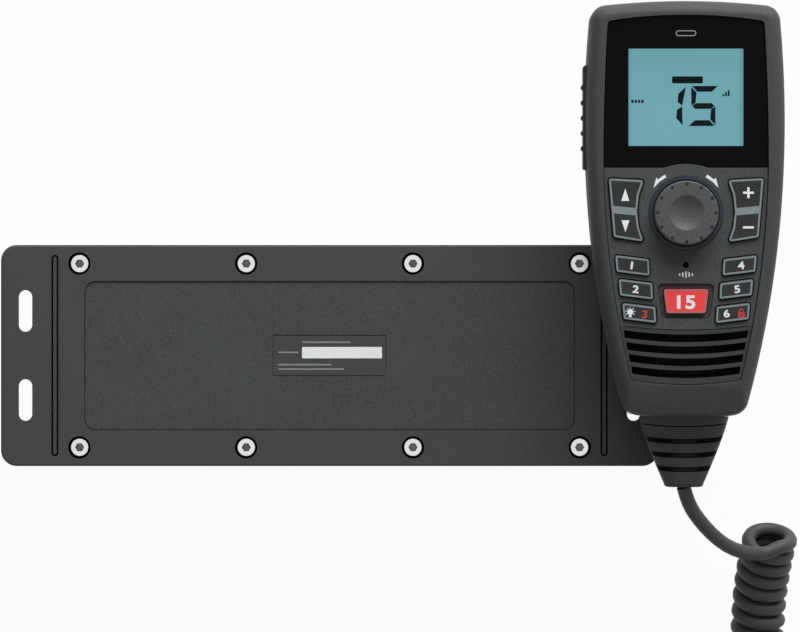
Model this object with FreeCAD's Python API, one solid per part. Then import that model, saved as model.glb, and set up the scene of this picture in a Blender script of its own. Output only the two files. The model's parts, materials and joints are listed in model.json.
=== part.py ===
"""Marine VHF radio: a sealed transceiver box with a handset hanging on its right ear.

Millimetres, +Z up. The origin is the middle of the transceiver's underside, +X runs along
the box and +Y towards the top of the handset. Every solid goes to its own STEP file.
"""

import FreeCAD, Part
import math
import os

V = FreeCAD.Vector
X_AXIS = V(1, 0, 0)
Y_AXIS = V(0, 1, 0)
Z_AXIS = V(0, 0, 1)
os.makedirs("parts", exist_ok=True)

# ---------------------------------------------------------------- transceiver box
plate_length = 208.0
plate_width = 70.0
plate_thickness = 3.5
plate_corner = 5.0
plate_top_z = 38.0
edge_break = 0.5
ear_overhang = 15.6
band_depth = 4.0
band_end_width = 12.0
band_side_width = 9.9

slot_edge_distance = 7.7
slot_width = 4.4
slot_length = 13.2
slot_spacing = 28.2

bead_edge_distance = 17.1
bead_width = 2.2
bead_land = 1.1
bead_side_distance = 3.15
bead_depth = 0.8

step_end_distance = 26.5
step_side_distance = 11.5
step_corner = 3.0
step_depth = 0.25
label_length = 36.0
label_width = 13.1
label_corner = 0.8
label_thickness = 0.25
label_recess = 0.3
label_gap = 0.3

screws_per_row = 4
screw_end_distance = 9.2
screw_edge_distance = 5.9
screw_head_radius = 2.75
screw_head_height = 3.0
screw_key = 2.5
screw_key_depth = 1.8
screw_radius = 1.5
screw_length = 12.0
screw_clearance = 0.2
thread_gap = 0.04
counterbore_radius = 3.55
counterbore_depth = 5.5
post_radius = 3.7

casting_side_inset = 2.0
casting_corner = 3.0
gasket_thickness = 1.0
gasket_inset = 0.6
gasket_width = 5.9
floor_thickness = 2.5
end_wall = 3.4
side_wall = 3.0
fin_height = 6.0
fin_thickness = 2.5
fin_pitch = 7.5
side_fin_thickness = 1.6
side_fin_pitch = 6.8
side_fin_reach = 1.5
side_fin_end_gap = 6.0

board_gap = 0.5
board_thickness = 1.6
module_wall_gap = 12.0
standoff_height = 3.5
standoff_radius = 3.0
standoff_end_distance = 7.0
standoff_side_distance = 5.9
board_end_gap = 6.0
board_screw_length = 5.0
board_screw_head_radius = 2.6
board_screw_head_height = 1.7

shield_width = 36.0
shield_height = 8.0
shield_wall = 0.6
capacitor_radius = 5.0
capacitor_height = 12.0
capacitor_pitch = 12.5
capacitor_count = 3
module_length = 28.0
module_width = 40.0
module_height = 9.0

socket_axis_z = 18.2
antenna_wall_distance = 22.0
antenna_thread_radius = 7.94
antenna_bore_radius = 6.2
antenna_hex = 19.0
antenna_hex_thickness = 2.5
antenna_thread_length = 12.0
antenna_contact_radius = 2.6
handset_socket_y = 7.8
handset_socket_radius = 7.6
handset_socket_flange = 8.7
handset_socket_bore = 6.2
handset_socket_reach = 9.0
socket_flange_thickness = 1.6
antenna_recess = 3.0
insert_recess = 1.0
insert_boss_length = 5.5
insert_gap = 0.2
pin_count = 8
pin_circle_radius = 3.3
pin_radius = 0.6
pin_clearance = 0.1
gland_wall_distance = 10.8
power_gland_z = 13.2
power_gland_radius = 5.2
power_gland_bore = 3.0
speaker_gland_z = 24.6
speaker_gland_radius = 3.6
speaker_gland_bore = 1.7
gland_reach = 9.0
gland_flange_extra = 0.9
wall_fit = 0.1

# ---------------------------------------------------------------- handset hanger
hanger_thickness = 1.6
hanger_foot_width = 11.4
hanger_foot_start = 13.5
hanger_arm_width = 21.6
hanger_top_reach = 12.0
hanger_slot_clearance = 0.2
hanger_corner = 2.0
hanger_screw_pitch = 6.6
hanger_screw_radius = 1.3
hanger_screw_head_radius = 2.3
stud_radius = 3.5
stud_head_radius = 6.5
stud_head_thickness = 2.5
stud_clearance = 0.3
stud_drop = 62.0
stud_screw_radius = 2.0
stud_screw_length = 9.0
stud_boss_radius = 6.0

# ---------------------------------------------------------------- handset
handset_past_plate = 7.4
handset_bottom_y = -18.1
handset_lift_gap = 0.4
handset_length = 129.0
handset_width = 62.2
handset_top_corner_width = 59.4
handset_waist_width = 60.8
handset_chin_width = 39.2
chin_sag = 0.9
chin_slope_start = 8.7
chin_slope = 15.0
handset_wide_drop = 35.9
handset_waist_drop = 59.9
handset_taper_drop = 93.4
handset_corner_run = 17.2
side_bow = 1.6
handset_depth = 30.0
parting_height = 10.0
parting_gap = 0.3
shell_wall = 2.2
roof_thickness = 1.8
rim_height = 0.8
panel_thickness = 1.8
panel_gap = 0.2
back_wall = 2.4

fascia_top_rim = 4.6
fascia_corner_rim = 5.2
fascia_side_rim = 5.35
fascia_chin_rim = 2.4
fascia_low_y = 10.7
fascia_sag = 1.6
fascia_corner = 3.4
fascia_bow = 0.3
fascia_low_bow = 0.3
panel_top_drop = 52.2
panel_corner_rise = 0.4
hump_radius = 20.0
hump_rise = 1.2
window_length = 35.8
window_height = 30.3
window_rise = 6.75
window_margin = 0.6
lcd_margin = 2.2
lcd_thickness = 2.0
guide_thickness = 2.6
stack_gap = 0.2
frame_wall = 1.2

knob_drop = 14.14
knob_radius = 10.06
knob_height = 6.4
knob_crown = 0.6
knob_dish_radius = 5.7
knob_dish_depth = 1.6
knob_dimples = 12
knob_dimple_circle = 9.03
knob_dimple_radius = 0.5
knob_dimple_core = 0.2
knob_dimple_depth = 0.3
knob_gap = 0.35
ring_inner_radius = 10.4
ring_outer_radius = 11.5
ring_recess = 0.8
ring_height = 1.3
shaft_radius = 3.0
shaft_fit = 0.05
bushing_radius = 3.5
bushing_fit = 0.2
encoder_side = 11.5

key_gap = 0.3
key_proud = 0.7
key_travel = 0.6
key_flange = 0.7
key_flange_thickness = 0.9
key_corner = 0.8
key_rows = 3
key_side_distance = 3.55
key_outer_step = 1.05
key_drop = 12.99
key_pitch = 7.4
key_width = 10.7
key_height = 5.35
key_slant = 1.3
key_lean = 0.5
key_stem_inset = 1.6
stem_gap = 0.9
centre_key_top_half = 7.05
centre_key_low_half = 6.1
centre_key_drop = 23.66
centre_key_height = 7.55
bezel_margin = 1.7
bezel_depth = 0.75
rocker_side_distance = 1.45
rocker_ring_distance = 3.6
rocker_rise = 11.0
rocker_drop = 7.6
rocker_lean = 1.6
rocker_arc_radius = 22.9
rocker_arc_angle = 25.3
rocker_arc_lift = 0.6
rocker_arc_points = 5
rocker_dome_distance = 5.5
rocker_stem_radius = 1.6
rocker_travel_room = 0.5
rocker_proud = 0.8
rocker_corner = 0.9
rocker_axis_drop = 2.2
rocker_fulcrum_half = 1.5
rocker_fulcrum_gap = 0.3

grille_rows = 4
grille_rise = 15.5
grille_pitch = 3.73
grille_opening = 2.4
grille_half = 19.4
grille_half_step = 0.77
grille_sag = 1.4
grille_end_slope = 0.3
speaker_rise = 5.9
speaker_radius = 11.5
speaker_cone_radius = 9.0
speaker_magnet_radius = 6.0
speaker_flange_thickness = 1.4
speaker_cone_depth = 4.0
speaker_magnet_depth = 3.4
cloth_thickness = 0.4
cloth_gap = 0.1
mic_drop = 16.16
mic_hole_radius = 0.95
mic_radius = 3.2

handset_board_thickness = 1.6
handset_board_grille_gap = 1.0
handset_board_top_gap = 4.9
handset_board_margin = 2.6
mat_thickness = 1.2
dome_height = 1.0
dome_radius = 2.0

case_screw_corner_inset = 5.3
case_screw_top_drop = 13.5
case_screw_chin_inset = 5.2
case_screw_low_y = 7.2
case_boss_radius = 2.8
case_screw_radius = 1.25
case_screw_length = 16.0
case_screw_head_radius = 2.2
case_screw_head_height = 1.6
case_screw_sink = 2.2

ptt_drop = 36.4
ptt_length = 32.5
ptt_height = 10.0
ptt_height_centre = 18.4
ptt_proud = 0.8
ptt_pad_thickness = 1.6
ptt_travel = 1.2
ptt_gap = 0.3
ptt_flange = 1.2
ptt_flange_thickness = 0.9
ptt_flange_gap = 1.0
ptt_nubs = 5
ptt_nub_pitch = 4.77
ptt_nub_radius = 0.9
ptt_nub_proud = 0.6
ptt_switch_length = 6.0
ptt_switch_depth = 4.5
ptt_switch_height = 3.4
ptt_plunger_radius = 0.9
ptt_plunger_gap = 0.35

# ---------------------------------------------------------------- cord
boot_height = 12.5
boot_length = 22.1
boot_gap = chin_sag + 0.1
boot_root_half = 14.2
boot_root_depth = 9.8
boot_tip_half = 5.75
boot_tip_depth = 4.8
boot_tip_round = 1.2
boot_taper = 1.17
boot_neck_half = 10.4
boot_neck_depth = 7.0
boot_flange_extra = 1.3
boot_flange_thickness = 1.5
boot_groove_depth = 0.6
boot_groove_width = 1.6
boot_groove_tilt = 8.0
boot_groove_side_fit = 0.05
boot_groove_first = 6.5
boot_groove_pitch = 4.6
boot_grooves = 3
boot_bridge_half = 4.2
boot_bridge_recess = 0.25
boot_collar_line = 1.7
boot_collar_line_width = 0.4
boot_collar_line_depth = 0.25
cord_radius = 2.25
coil_radius = 8.75
plug_axis_z = 9.2
plug_boot_length = 14.0
plug_body_radius = 6.9
plug_body_length = 12.0
plug_nose_length = 6.5
plug_nose_wall = 0.6
plug_nose_gap = 0.2
plug_ring_radius = 9.0
plug_ring_length = 11.0
plug_ring_lip = 2.2
plug_ring_fit = 0.08
plug_ring_ribs = 18
plug_thread_gap = 0.15
plug_collar_length = 1.5
plug_end_play = 0.3
plug_insert_thickness = 4.0

# ---------------------------------------------------------------- worked-out places
plate_under_z = plate_top_z - plate_thickness
band_under_z = plate_under_z - band_depth
casting_top_z = band_under_z - gasket_thickness
casting_length = plate_length - 2 * ear_overhang
casting_width = plate_width - 2 * casting_side_inset
casting_end_x = casting_length / 2
inner_end_x = casting_end_x - end_wall
inner_side_y = casting_width / 2 - side_wall
cavity_floor_z = fin_height + floor_thickness
screw_y = plate_width / 2 - screw_edge_distance
screw_pitch = (casting_length - 2 * screw_end_distance) / (screws_per_row - 1)
screw_xs = [screw_pitch * (i - (screws_per_row - 1) / 2) for i in range(screws_per_row)]
screw_places = [(x, y) for x in screw_xs for y in (-screw_y, screw_y)]
screw_seat_z = plate_top_z - counterbore_depth
slot_x = plate_length / 2 - slot_edge_distance
bead_x = plate_length / 2 - bead_edge_distance
bead_length = plate_width - 2 * bead_side_distance
step_length = plate_length - 2 * step_end_distance
step_width = plate_width - 2 * step_side_distance

board_z = cavity_floor_z + standoff_height
board_top_z = board_z + board_thickness
board_start_x = -inner_end_x + board_end_gap
board_end_x = inner_end_x - module_wall_gap - module_length - board_end_gap
board_half_width = screw_y - post_radius - board_gap
board_centre_x = (board_start_x + board_end_x) / 2
standoff_pitch_x = (board_end_x - board_start_x) / 2 - standoff_end_distance
standoff_y = board_half_width - standoff_side_distance
board_screw_radius = screw_radius * 0.8
antenna_socket_y = -(casting_width / 2 - antenna_wall_distance)
gland_y = casting_width / 2 - gland_wall_distance

hanger_top_z = plate_top_z + hanger_thickness
handset_x = plate_length / 2 + handset_past_plate
handset_z = hanger_top_z + handset_lift_gap
stud_height_on_back = handset_length - stud_drop
stud_y = handset_bottom_y + stud_height_on_back
HANDSET = V(handset_x, handset_bottom_y, handset_z)

wide_half = handset_width / 2
corner_half = handset_top_corner_width / 2
waist_half = handset_waist_width / 2
chin_half = handset_chin_width / 2
fascia_top = handset_length - fascia_top_rim
fascia_top_half = corner_half - fascia_corner_rim
fascia_wide_half = wide_half - fascia_side_rim
fascia_low_half = chin_half - fascia_chin_rim
fascia_z = handset_depth - rim_height
ledge_z = fascia_z - panel_thickness
roof_z = ledge_z - roof_thickness
panel_top_y = handset_length - panel_top_drop
fascia_wide_y = panel_top_y + panel_corner_rise
hump_top_y = panel_top_y + hump_rise
window_y = panel_top_y + window_rise + window_height / 2
knob_y = panel_top_y - knob_drop
mic_y = knob_y - mic_drop
key_outer_x = fascia_wide_half - key_side_distance
key_top_y = knob_y - key_drop
centre_key_top_y = knob_y - centre_key_drop
grille_top_y = fascia_low_y + grille_rise
speaker_y = fascia_low_y + speaker_rise
case_screw_top_x = corner_half - case_screw_corner_inset
case_screw_top_y = handset_length - case_screw_top_drop
case_screw_low_x = chin_half - case_screw_chin_inset
ptt_y = handset_length - ptt_drop
ptt_reach = wide_half + ptt_proud

lcd_top_z = roof_z - stack_gap
guide_top_z = lcd_top_z - lcd_thickness - stack_gap
handset_board_top_z = guide_top_z - guide_thickness - 2 * stack_gap
handset_board_z = handset_board_top_z - handset_board_thickness
handset_board_low_y = grille_top_y + handset_board_grille_gap
handset_board_top_y = fascia_top - handset_board_top_gap
mat_top_z = handset_board_top_z + mat_thickness
dome_top_z = mat_top_z + dome_height
key_top_z = fascia_z + key_proud
ring_seat_z = fascia_z - ring_recess
rocker_axis_z = fascia_z - rocker_axis_drop
plug_nose_radius = handset_socket_bore - 0.8 - plug_nose_gap
plug_nose_bore = plug_nose_radius - plug_nose_wall
insert_boss_radius = plug_nose_bore - insert_gap
plug_thread_radius = handset_socket_radius + plug_thread_gap
plug_collar_radius = plug_thread_radius - plug_thread_gap


# ---------------------------------------------------------------- small tools
def box(x0, x1, y0, y1, z0, z1):
    return Part.makeBox(x1 - x0, y1 - y0, z1 - z0, V(x0, y0, z0))


def rod(radius, x, y, z0, z1):
    return Part.makeCylinder(radius, z1 - z0, V(x, y, z0), Z_AXIS)


def rod_x(radius, x0, x1, y, z):
    return Part.makeCylinder(radius, x1 - x0, V(x0, y, z), X_AXIS)


def tube_x(outer, inner, x0, x1, y, z):
    return rod_x(outer, x0, x1, y, z).cut(rod_x(inner, x0 - 1, x1 + 1, y, z))


def arc(a, b, c):
    return Part.Arc(a, b, c).toShape()


def line(a, b):
    return Part.LineSegment(a, b).toShape()


def rounded_wire(points, radius, z):
    """A closed outline through the points, each corner rounded to the radius."""
    starts = []
    for i, (px, py) in enumerate(points):
        here = V(px, py, z)
        before = V(points[i - 1][0], points[i - 1][1], z) - here
        after = V(points[(i + 1) % len(points)][0], points[(i + 1) % len(points)][1], z) - here
        before.normalize()
        after.normalize()
        half = before.getAngle(after) / 2
        back = radius / math.tan(half)
        middle = before + after
        middle.normalize()
        top = here + middle * (radius / math.sin(half) - radius)
        starts.append((here + before * back, top, here + after * back))
    edges = []
    for i, (a, b, c) in enumerate(starts):
        edges.append(arc(a, b, c))
        edges.append(line(c, starts[(i + 1) % len(starts)][0]))
    return Part.Wire(edges)


def extrude(wire, height):
    return Part.Face(wire).extrude(V(0, 0, height))


def rectangle_points(length, width, x=0.0, y=0.0):
    a, b = length / 2, width / 2
    return [(x - a, y - b), (x + a, y - b), (x + a, y + b), (x - a, y + b)]


def slab(length, width, radius, z0, z1, x=0.0, y=0.0):
    return extrude(rounded_wire(rectangle_points(length, width, x, y), radius, z0), z1 - z0)


def polygon(points, z0, z1):
    corners = [V(x, y, z0) for x, y in points]
    return extrude(Part.makePolygon(corners + [corners[0]]), z1 - z0)


def rounded_prism(points, radius, z0, z1):
    return extrude(rounded_wire(points, radius, z0), z1 - z0)


def grown(points, distance):
    """The polygon with every side moved outwards; its points run either way round."""
    area = 0.0
    for i, (x, y) in enumerate(points):
        nx, ny = points[(i + 1) % len(points)]
        area += x * ny - nx * y
    side = distance if area > 0 else -distance
    lines = []
    for i, (x, y) in enumerate(points):
        nx, ny = points[(i + 1) % len(points)]
        size = math.hypot(nx - x, ny - y)
        ox, oy = (ny - y) / size * side, -(nx - x) / size * side
        lines.append((x + ox, y + oy, nx - x, ny - y))
    out = []
    for i, (x2, y2, dx2, dy2) in enumerate(lines):
        x1, y1, dx1, dy1 = lines[i - 1]
        t = ((x2 - x1) * dy2 - (y2 - y1) * dx2) / (dx1 * dy2 - dy1 * dx2)
        out.append((x1 + dx1 * t, y1 + dy1 * t))
    return out


def mirrored(points):
    return [(-x, y) for x, y in reversed(points)]


def slot_prism(x, y, width, length, z0, z1):
    """A slot along Y with round ends."""
    reach = (length - width) / 2
    body = box(x - width / 2, x + width / 2, y - reach, y + reach, z0, z1)
    for end in (-reach, reach):
        body = body.fuse(rod(width / 2, x, y + end, z0, z1))
    return body.removeSplitter()


def hexagon_x(across, x0, x1, y, z):
    radius = across / math.sqrt(3)
    corners = []
    for i in range(6):
        turn = math.radians(60 * i + 30)
        corners.append(V(x0, y + radius * math.cos(turn), z + radius * math.sin(turn)))
    return Part.Face(Part.makePolygon(corners + [corners[0]])).extrude(V(x1 - x0, 0, 0))


def hexagon_z(across, x, y, z0, z1):
    radius = across / math.sqrt(3)
    corners = []
    for i in range(6):
        turn = math.radians(60 * i)
        corners.append((x + radius * math.cos(turn), y + radius * math.sin(turn)))
    return polygon(corners, z0, z1)


def cut_all(body, tools):
    for tool in tools:
        body = body.cut(tool)
    return body


def fuse_all(shapes):
    return shapes[0].multiFuse(shapes[1:]).removeSplitter() if len(shapes) > 1 else shapes[0]


def save(node, shape, place=None):
    """Writes one node; a handset piece is moved from the handset's own corner to its place."""
    out = shape.copy()
    if place is not None:
        out.translate(place)
    out.exportStep("parts/" + node + ".step")


# ---------------------------------------------------------------- handset outlines
def circle_centre(a, b, c):
    ax, ay, bx, by, cx, cy = a[0], a[1], b[0], b[1], c[0], c[1]
    d = 2 * (ax * (by - cy) + bx * (cy - ay) + cx * (ay - by))
    sa, sb, sc = ax * ax + ay * ay, bx * bx + by * by, cx * cx + cy * cy
    x = (sa * (by - cy) + sb * (cy - ay) + sc * (ay - by)) / d
    y = (sa * (cx - bx) + sb * (ax - cx) + sc * (bx - ax)) / d
    return x, y


def moved_in(points, inset):
    """The right half of an outline, arcs of three points in a row, moved inwards."""
    normals = [[] for _ in points]
    for i in range(0, len(points) - 2, 2):
        cx, cy = circle_centre(points[i], points[i + 1], points[i + 2])
        for k in (i, i + 1, i + 2):
            size = math.hypot(points[k][0] - cx, points[k][1] - cy)
            normals[k].append(((points[k][0] - cx) / size, (points[k][1] - cy) / size))
    out = []
    for (x, y), found in zip(points, normals):
        nx = sum(n[0] for n in found)
        ny = sum(n[1] for n in found)
        size = math.hypot(nx, ny)
        out.append((x - nx / size * inset, y - ny / size * inset))
    out[0] = (0.0, points[0][1] - inset)
    out[-1] = (0.0, points[-1][1] + inset)
    return out


def half_outline_wire(points, inset, z):
    """A closed wire from the right half of an outline and its mirror image."""
    right = [V(x, y, z) for x, y in moved_in(points, inset)]
    left = [V(-p.x, p.y, z) for p in reversed(right)]
    edges = []
    for side in (right, left):
        for i in range(0, len(side) - 2, 2):
            edges.append(arc(side[i], side[i + 1], side[i + 2]))
    return Part.Wire(edges)


OUTLINE = [
    (0.0, handset_length),
    (corner_half - handset_corner_run, handset_length - 0.35),
    (corner_half - 5.1, handset_length - 1.3),
    (corner_half - 1.35, handset_length - 3.0),
    (corner_half, handset_length - 6.4),
    (wide_half, handset_length - handset_wide_drop),
    (waist_half, handset_length - handset_waist_drop),
    ((waist_half + chin_half) / 2 + side_bow, handset_length - handset_taper_drop),
    (chin_half, 3.4),
    (chin_half - 1.3, 1.2),
    (chin_half - 3.7, -0.3 * chin_sag),
    (chin_half - 5.4, -0.66 * chin_sag),
    (chin_half - 7.8, -0.88 * chin_sag),
    (chin_half / 3, -0.97 * chin_sag),
    (0.0, -chin_sag),
]
FASCIA = [
    (0.0, fascia_top),
    (fascia_top_half / 2, fascia_top - 0.45),
    (fascia_top_half - 1.5, fascia_top - fascia_corner / 2),
    (fascia_top_half - 0.4, fascia_top - fascia_corner * 0.65),
    (fascia_top_half, fascia_top - fascia_corner),
    ((fascia_top_half + fascia_wide_half) / 2 + fascia_bow, (fascia_top + fascia_wide_y) / 2),
    (fascia_wide_half, fascia_wide_y),
    (
        (fascia_wide_half + fascia_low_half) / 2 + side_bow + fascia_low_bow,
        (fascia_wide_y + fascia_low_y) / 2,
    ),
    (fascia_low_half, fascia_low_y),
    (fascia_low_half / 2, fascia_low_y - fascia_sag * 0.75),
    (0.0, fascia_low_y - fascia_sag),
]


def outline_prism(inset, z0, z1):
    return extrude(half_outline_wire(OUTLINE, inset, z0), z1 - z0)


def fascia_prism(inset, z0, z1):
    return extrude(half_outline_wire(FASCIA, inset, z0), z1 - z0)


def shell_loft(sections):
    """A solid through outlines at (height, inset), joined by straight sides."""
    return Part.makeLoft([half_outline_wire(OUTLINE, inset, z) for z, inset in sections], True, True)


# ---------------------------------------------------------------- transceiver pieces
def make_mounting_plate():
    flat = rectangle_points(plate_length, plate_width)
    top = rectangle_points(plate_length - 2 * edge_break, plate_width - 2 * edge_break)
    break_z = plate_top_z - edge_break
    body = extrude(rounded_wire(flat, plate_corner, plate_under_z), break_z - plate_under_z)
    crown = Part.makeLoft(
        [
            rounded_wire(flat, plate_corner, break_z),
            rounded_wire(top, plate_corner - edge_break, plate_top_z),
        ],
        True,
        True,
    )
    band = slab(casting_length, casting_width, casting_corner, band_under_z, plate_under_z)
    pocket = slab(
        casting_length - 2 * band_end_width,
        casting_width - 2 * band_side_width,
        casting_corner,
        band_under_z,
        plate_under_z,
    )
    body = fuse_all([body, crown, band.cut(pocket)])
    below, above = band_under_z - 1, plate_top_z + 1
    tools = []
    for side in (-1, 1):
        for y in (-slot_spacing / 2, slot_spacing / 2):
            tools.append(slot_prism(side * slot_x, y, slot_width, slot_length, below, above))
        groove_z = plate_top_z - bead_depth
        outer = slot_prism(side * bead_x, 0, bead_width, bead_length, groove_z, above)
        land_length = bead_length - bead_width + bead_land
        land = slot_prism(side * bead_x, 0, bead_land, land_length, groove_z - 1, above + 1)
        tools.append(outer.cut(land))
    for x, y in screw_places:
        tools.append(rod(counterbore_radius, x, y, screw_seat_z, above))
        tools.append(rod(screw_radius + screw_clearance, x, y, below, above))
    step_z = plate_top_z - step_depth
    tools.append(slab(step_length, step_width, step_corner, step_z, above))
    recess_z = step_z - label_recess
    tools.append(slab(label_length, label_width, label_corner, recess_z, above))
    for y in (-hanger_screw_pitch / 2, hanger_screw_pitch / 2):
        tools.append(rod(hanger_screw_radius + thread_gap, slot_x, y, below, above))
    save("mounting_plate", cut_all(body, tools))


def make_rating_label():
    z = plate_top_z - step_depth - label_recess
    length = label_length - 2 * label_gap
    width = label_width - 2 * label_gap
    save("rating_label", slab(length, width, label_corner - label_gap, z, z + label_thickness))


def make_lid_gasket():
    z0, z1 = casting_top_z, band_under_z
    outer_length = casting_length - 2 * gasket_inset
    outer_width = casting_width - 2 * gasket_inset
    body = slab(outer_length, outer_width, casting_corner - gasket_inset, z0, z1)
    inside = slab(
        outer_length - 2 * gasket_width,
        outer_width - 2 * gasket_width,
        casting_corner - gasket_inset,
        z0 - 1,
        z1 + 1,
    )
    holes = [rod(screw_radius + screw_clearance, x, y, z0 - 1, z1 + 1) for x, y in screw_places]
    save("lid_gasket", cut_all(body, [inside] + holes))


def socket_head_screw(x, y, seat_z):
    head = rod(screw_head_radius, x, y, seat_z, seat_z + screw_head_height)
    shank = rod(screw_radius, x, y, seat_z - screw_length, seat_z)
    top = seat_z + screw_head_height
    key = hexagon_z(screw_key, x, y, top - screw_key_depth, top + 1)
    return head.fuse(shank).cut(key)


def make_lid_screws():
    save("lid_screws", Part.makeCompound([socket_head_screw(x, y, screw_seat_z) for x, y in screw_places]))


def standoff_places():
    places = []
    for i in (-1, 0, 1):
        for side in (-1, 1):
            places.append((board_centre_x + i * standoff_pitch_x, side * standoff_y))
    return places


def make_body_casting():
    outer = slab(casting_length, casting_width, casting_corner, fin_height, casting_top_z)
    parts = [outer]
    fin_half = casting_end_x - casting_corner
    fins_each_side = int((casting_width / 2 - casting_corner) / fin_pitch)
    for i in range(-fins_each_side, fins_each_side + 1):
        y = i * fin_pitch
        parts.append(
            box(-fin_half, fin_half, y - fin_thickness / 2, y + fin_thickness / 2, 0, fin_height)
        )
    side_fins_each_way = int((casting_end_x - side_fin_end_gap) / side_fin_pitch)
    for i in range(-side_fins_each_way, side_fins_each_way + 1):
        x = i * side_fin_pitch
        reach = casting_width / 2 + side_fin_reach
        half = side_fin_thickness / 2
        parts.append(box(x - half, x + half, -reach, reach, fin_height, casting_top_z))
    body = fuse_all(parts)
    cavity = box(
        -inner_end_x, inner_end_x, -inner_side_y, inner_side_y, cavity_floor_z, casting_top_z + 1
    )
    for x, y in screw_places:
        cavity = cavity.cut(rod(post_radius, x, y, cavity_floor_z - 1, casting_top_z + 2))
    for x, y in standoff_places():
        cavity = cavity.cut(rod(standoff_radius, x, y, cavity_floor_z - 1, board_z))
    tools = [cavity]
    for x, y in screw_places:
        low = screw_seat_z - screw_length - screw_clearance
        tools.append(rod(screw_radius + thread_gap, x, y, low, casting_top_z + 1))
    for x, y in standoff_places():
        tools.append(rod(board_screw_radius + thread_gap, x, y, cavity_floor_z - 1, board_z + 1))
    x0, x1 = inner_end_x - 1, casting_end_x + 1
    for radius, y, z in wall_holes():
        tools.append(rod_x(radius, x0, x1, y, z))
    save("body_casting", cut_all(body, tools))


def wall_holes():
    """The holes in the right end wall: radius, y, z."""
    return [
        (antenna_bore_radius + wall_fit, antenna_socket_y, socket_axis_z),
        (handset_socket_bore + wall_fit, handset_socket_y, socket_axis_z),
        (power_gland_bore + gland_flange_extra + wall_fit, gland_y, power_gland_z),
        (speaker_gland_bore + gland_flange_extra + wall_fit, gland_y, speaker_gland_z),
    ]


def make_main_board():
    body = box(board_start_x, board_end_x, -board_half_width, board_half_width, board_z, board_top_z)
    holes = [
        rod(board_screw_radius + screw_clearance, x, y, board_z - 1, board_top_z + 1)
        for x, y in standoff_places()
    ]
    save("main_board", cut_all(body, holes))


def make_board_screws():
    screws = []
    for x, y in standoff_places():
        head = rod(board_screw_head_radius, x, y, board_top_z, board_top_z + board_screw_head_height)
        shank = rod(board_screw_radius, x, y, board_top_z - board_screw_length, board_top_z)
        screws.append(head.fuse(shank))
    save("board_screws", Part.makeCompound(screws))


def make_shield_can():
    x0 = board_centre_x - standoff_pitch_x + board_screw_head_radius + board_gap
    x1 = x0 + standoff_pitch_x - 2 * board_screw_head_radius - 2 * board_gap
    half = shield_width / 2
    z1 = board_top_z + shield_height
    can = box(x0, x1, -half, half, board_top_z, z1)
    inside = box(
        x0 + shield_wall,
        x1 - shield_wall,
        -half + shield_wall,
        half - shield_wall,
        board_top_z - 1,
        z1 - shield_wall,
    )
    save("shield_can", can.cut(inside))


def make_capacitors():
    cans = []
    for i in range(capacitor_count):
        y = capacitor_pitch * (i - (capacitor_count - 1) / 2)
        x = board_centre_x + standoff_pitch_x / 2
        cans.append(rod(capacitor_radius, x, y, board_top_z, board_top_z + capacitor_height))
    save("capacitors", Part.makeCompound(cans))


def make_power_module():
    x0 = board_end_x + board_end_gap
    body = box(x0, x0 + module_length, -module_width / 2, module_width / 2, cavity_floor_z,
               cavity_floor_z + module_height)
    save("power_module", body)


def make_antenna_socket():
    y, z = antenna_socket_y, socket_axis_z
    face_x = casting_end_x + antenna_hex_thickness
    nose_x = face_x + antenna_thread_length
    flange = hexagon_x(antenna_hex, casting_end_x, face_x, y, z)
    barrel = rod_x(antenna_thread_radius, face_x, nose_x, y, z)
    tail = rod_x(antenna_bore_radius, inner_end_x - 4, casting_end_x, y, z)
    bore = rod_x(antenna_bore_radius - 1.0, inner_end_x - 5, nose_x + 1, y, z)
    save("antenna_socket", fuse_all([flange, barrel, tail]).cut(bore))
    insulator_end = nose_x - antenna_recess
    insulator = tube_x(
        antenna_bore_radius - 1.0, antenna_contact_radius, inner_end_x - 4, insulator_end, y, z
    )
    save("antenna_insulator", insulator)
    contact_end = nose_x - antenna_recess / 2
    contact = tube_x(antenna_contact_radius, antenna_contact_radius - 0.7, inner_end_x - 6, contact_end, y, z)
    save("antenna_contact", contact)


def pin_places(y, z):
    places = []
    for i in range(pin_count):
        turn = 2 * math.pi * i / pin_count
        places.append((y + pin_circle_radius * math.cos(turn), z + pin_circle_radius * math.sin(turn)))
    return places


def make_handset_socket():
    y, z = handset_socket_y, socket_axis_z
    flange_x = casting_end_x + socket_flange_thickness
    nose_x = casting_end_x + handset_socket_reach
    flange = rod_x(handset_socket_flange, casting_end_x, flange_x, y, z)
    barrel = rod_x(handset_socket_radius, flange_x, nose_x, y, z)
    tail = rod_x(handset_socket_bore, inner_end_x - 3, casting_end_x, y, z)
    bore = rod_x(handset_socket_bore - 0.8, inner_end_x - 4, nose_x + 1, y, z)
    save("handset_socket", fuse_all([flange, barrel, tail]).cut(bore))
    boss_x = nose_x - insert_recess
    base_x = boss_x - insert_boss_length
    base = rod_x(handset_socket_bore - 0.8, inner_end_x - 3, base_x, y, z)
    boss = rod_x(insert_boss_radius, base_x, boss_x, y, z)
    clear = pin_radius + pin_clearance
    holes = [rod_x(clear, base_x - 1, nose_x, a, b) for a, b in pin_places(y, z)]
    save("socket_insert", cut_all(base.fuse(boss).removeSplitter(), holes))


def make_gland(node, z, radius, bore):
    neck = bore + gland_flange_extra
    flange_x = casting_end_x + socket_flange_thickness
    nose_x = casting_end_x + gland_reach
    collar = rod_x(radius, casting_end_x, flange_x, gland_y, z)
    nose = Part.makeCone(radius - 0.4, neck, nose_x - flange_x, V(flange_x, gland_y, z), X_AXIS)
    tail = rod_x(neck, inner_end_x, casting_end_x, gland_y, z)
    through = rod_x(bore, inner_end_x - 1, nose_x + 1, gland_y, z)
    save(node, fuse_all([collar, nose, tail]).cut(through))


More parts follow.
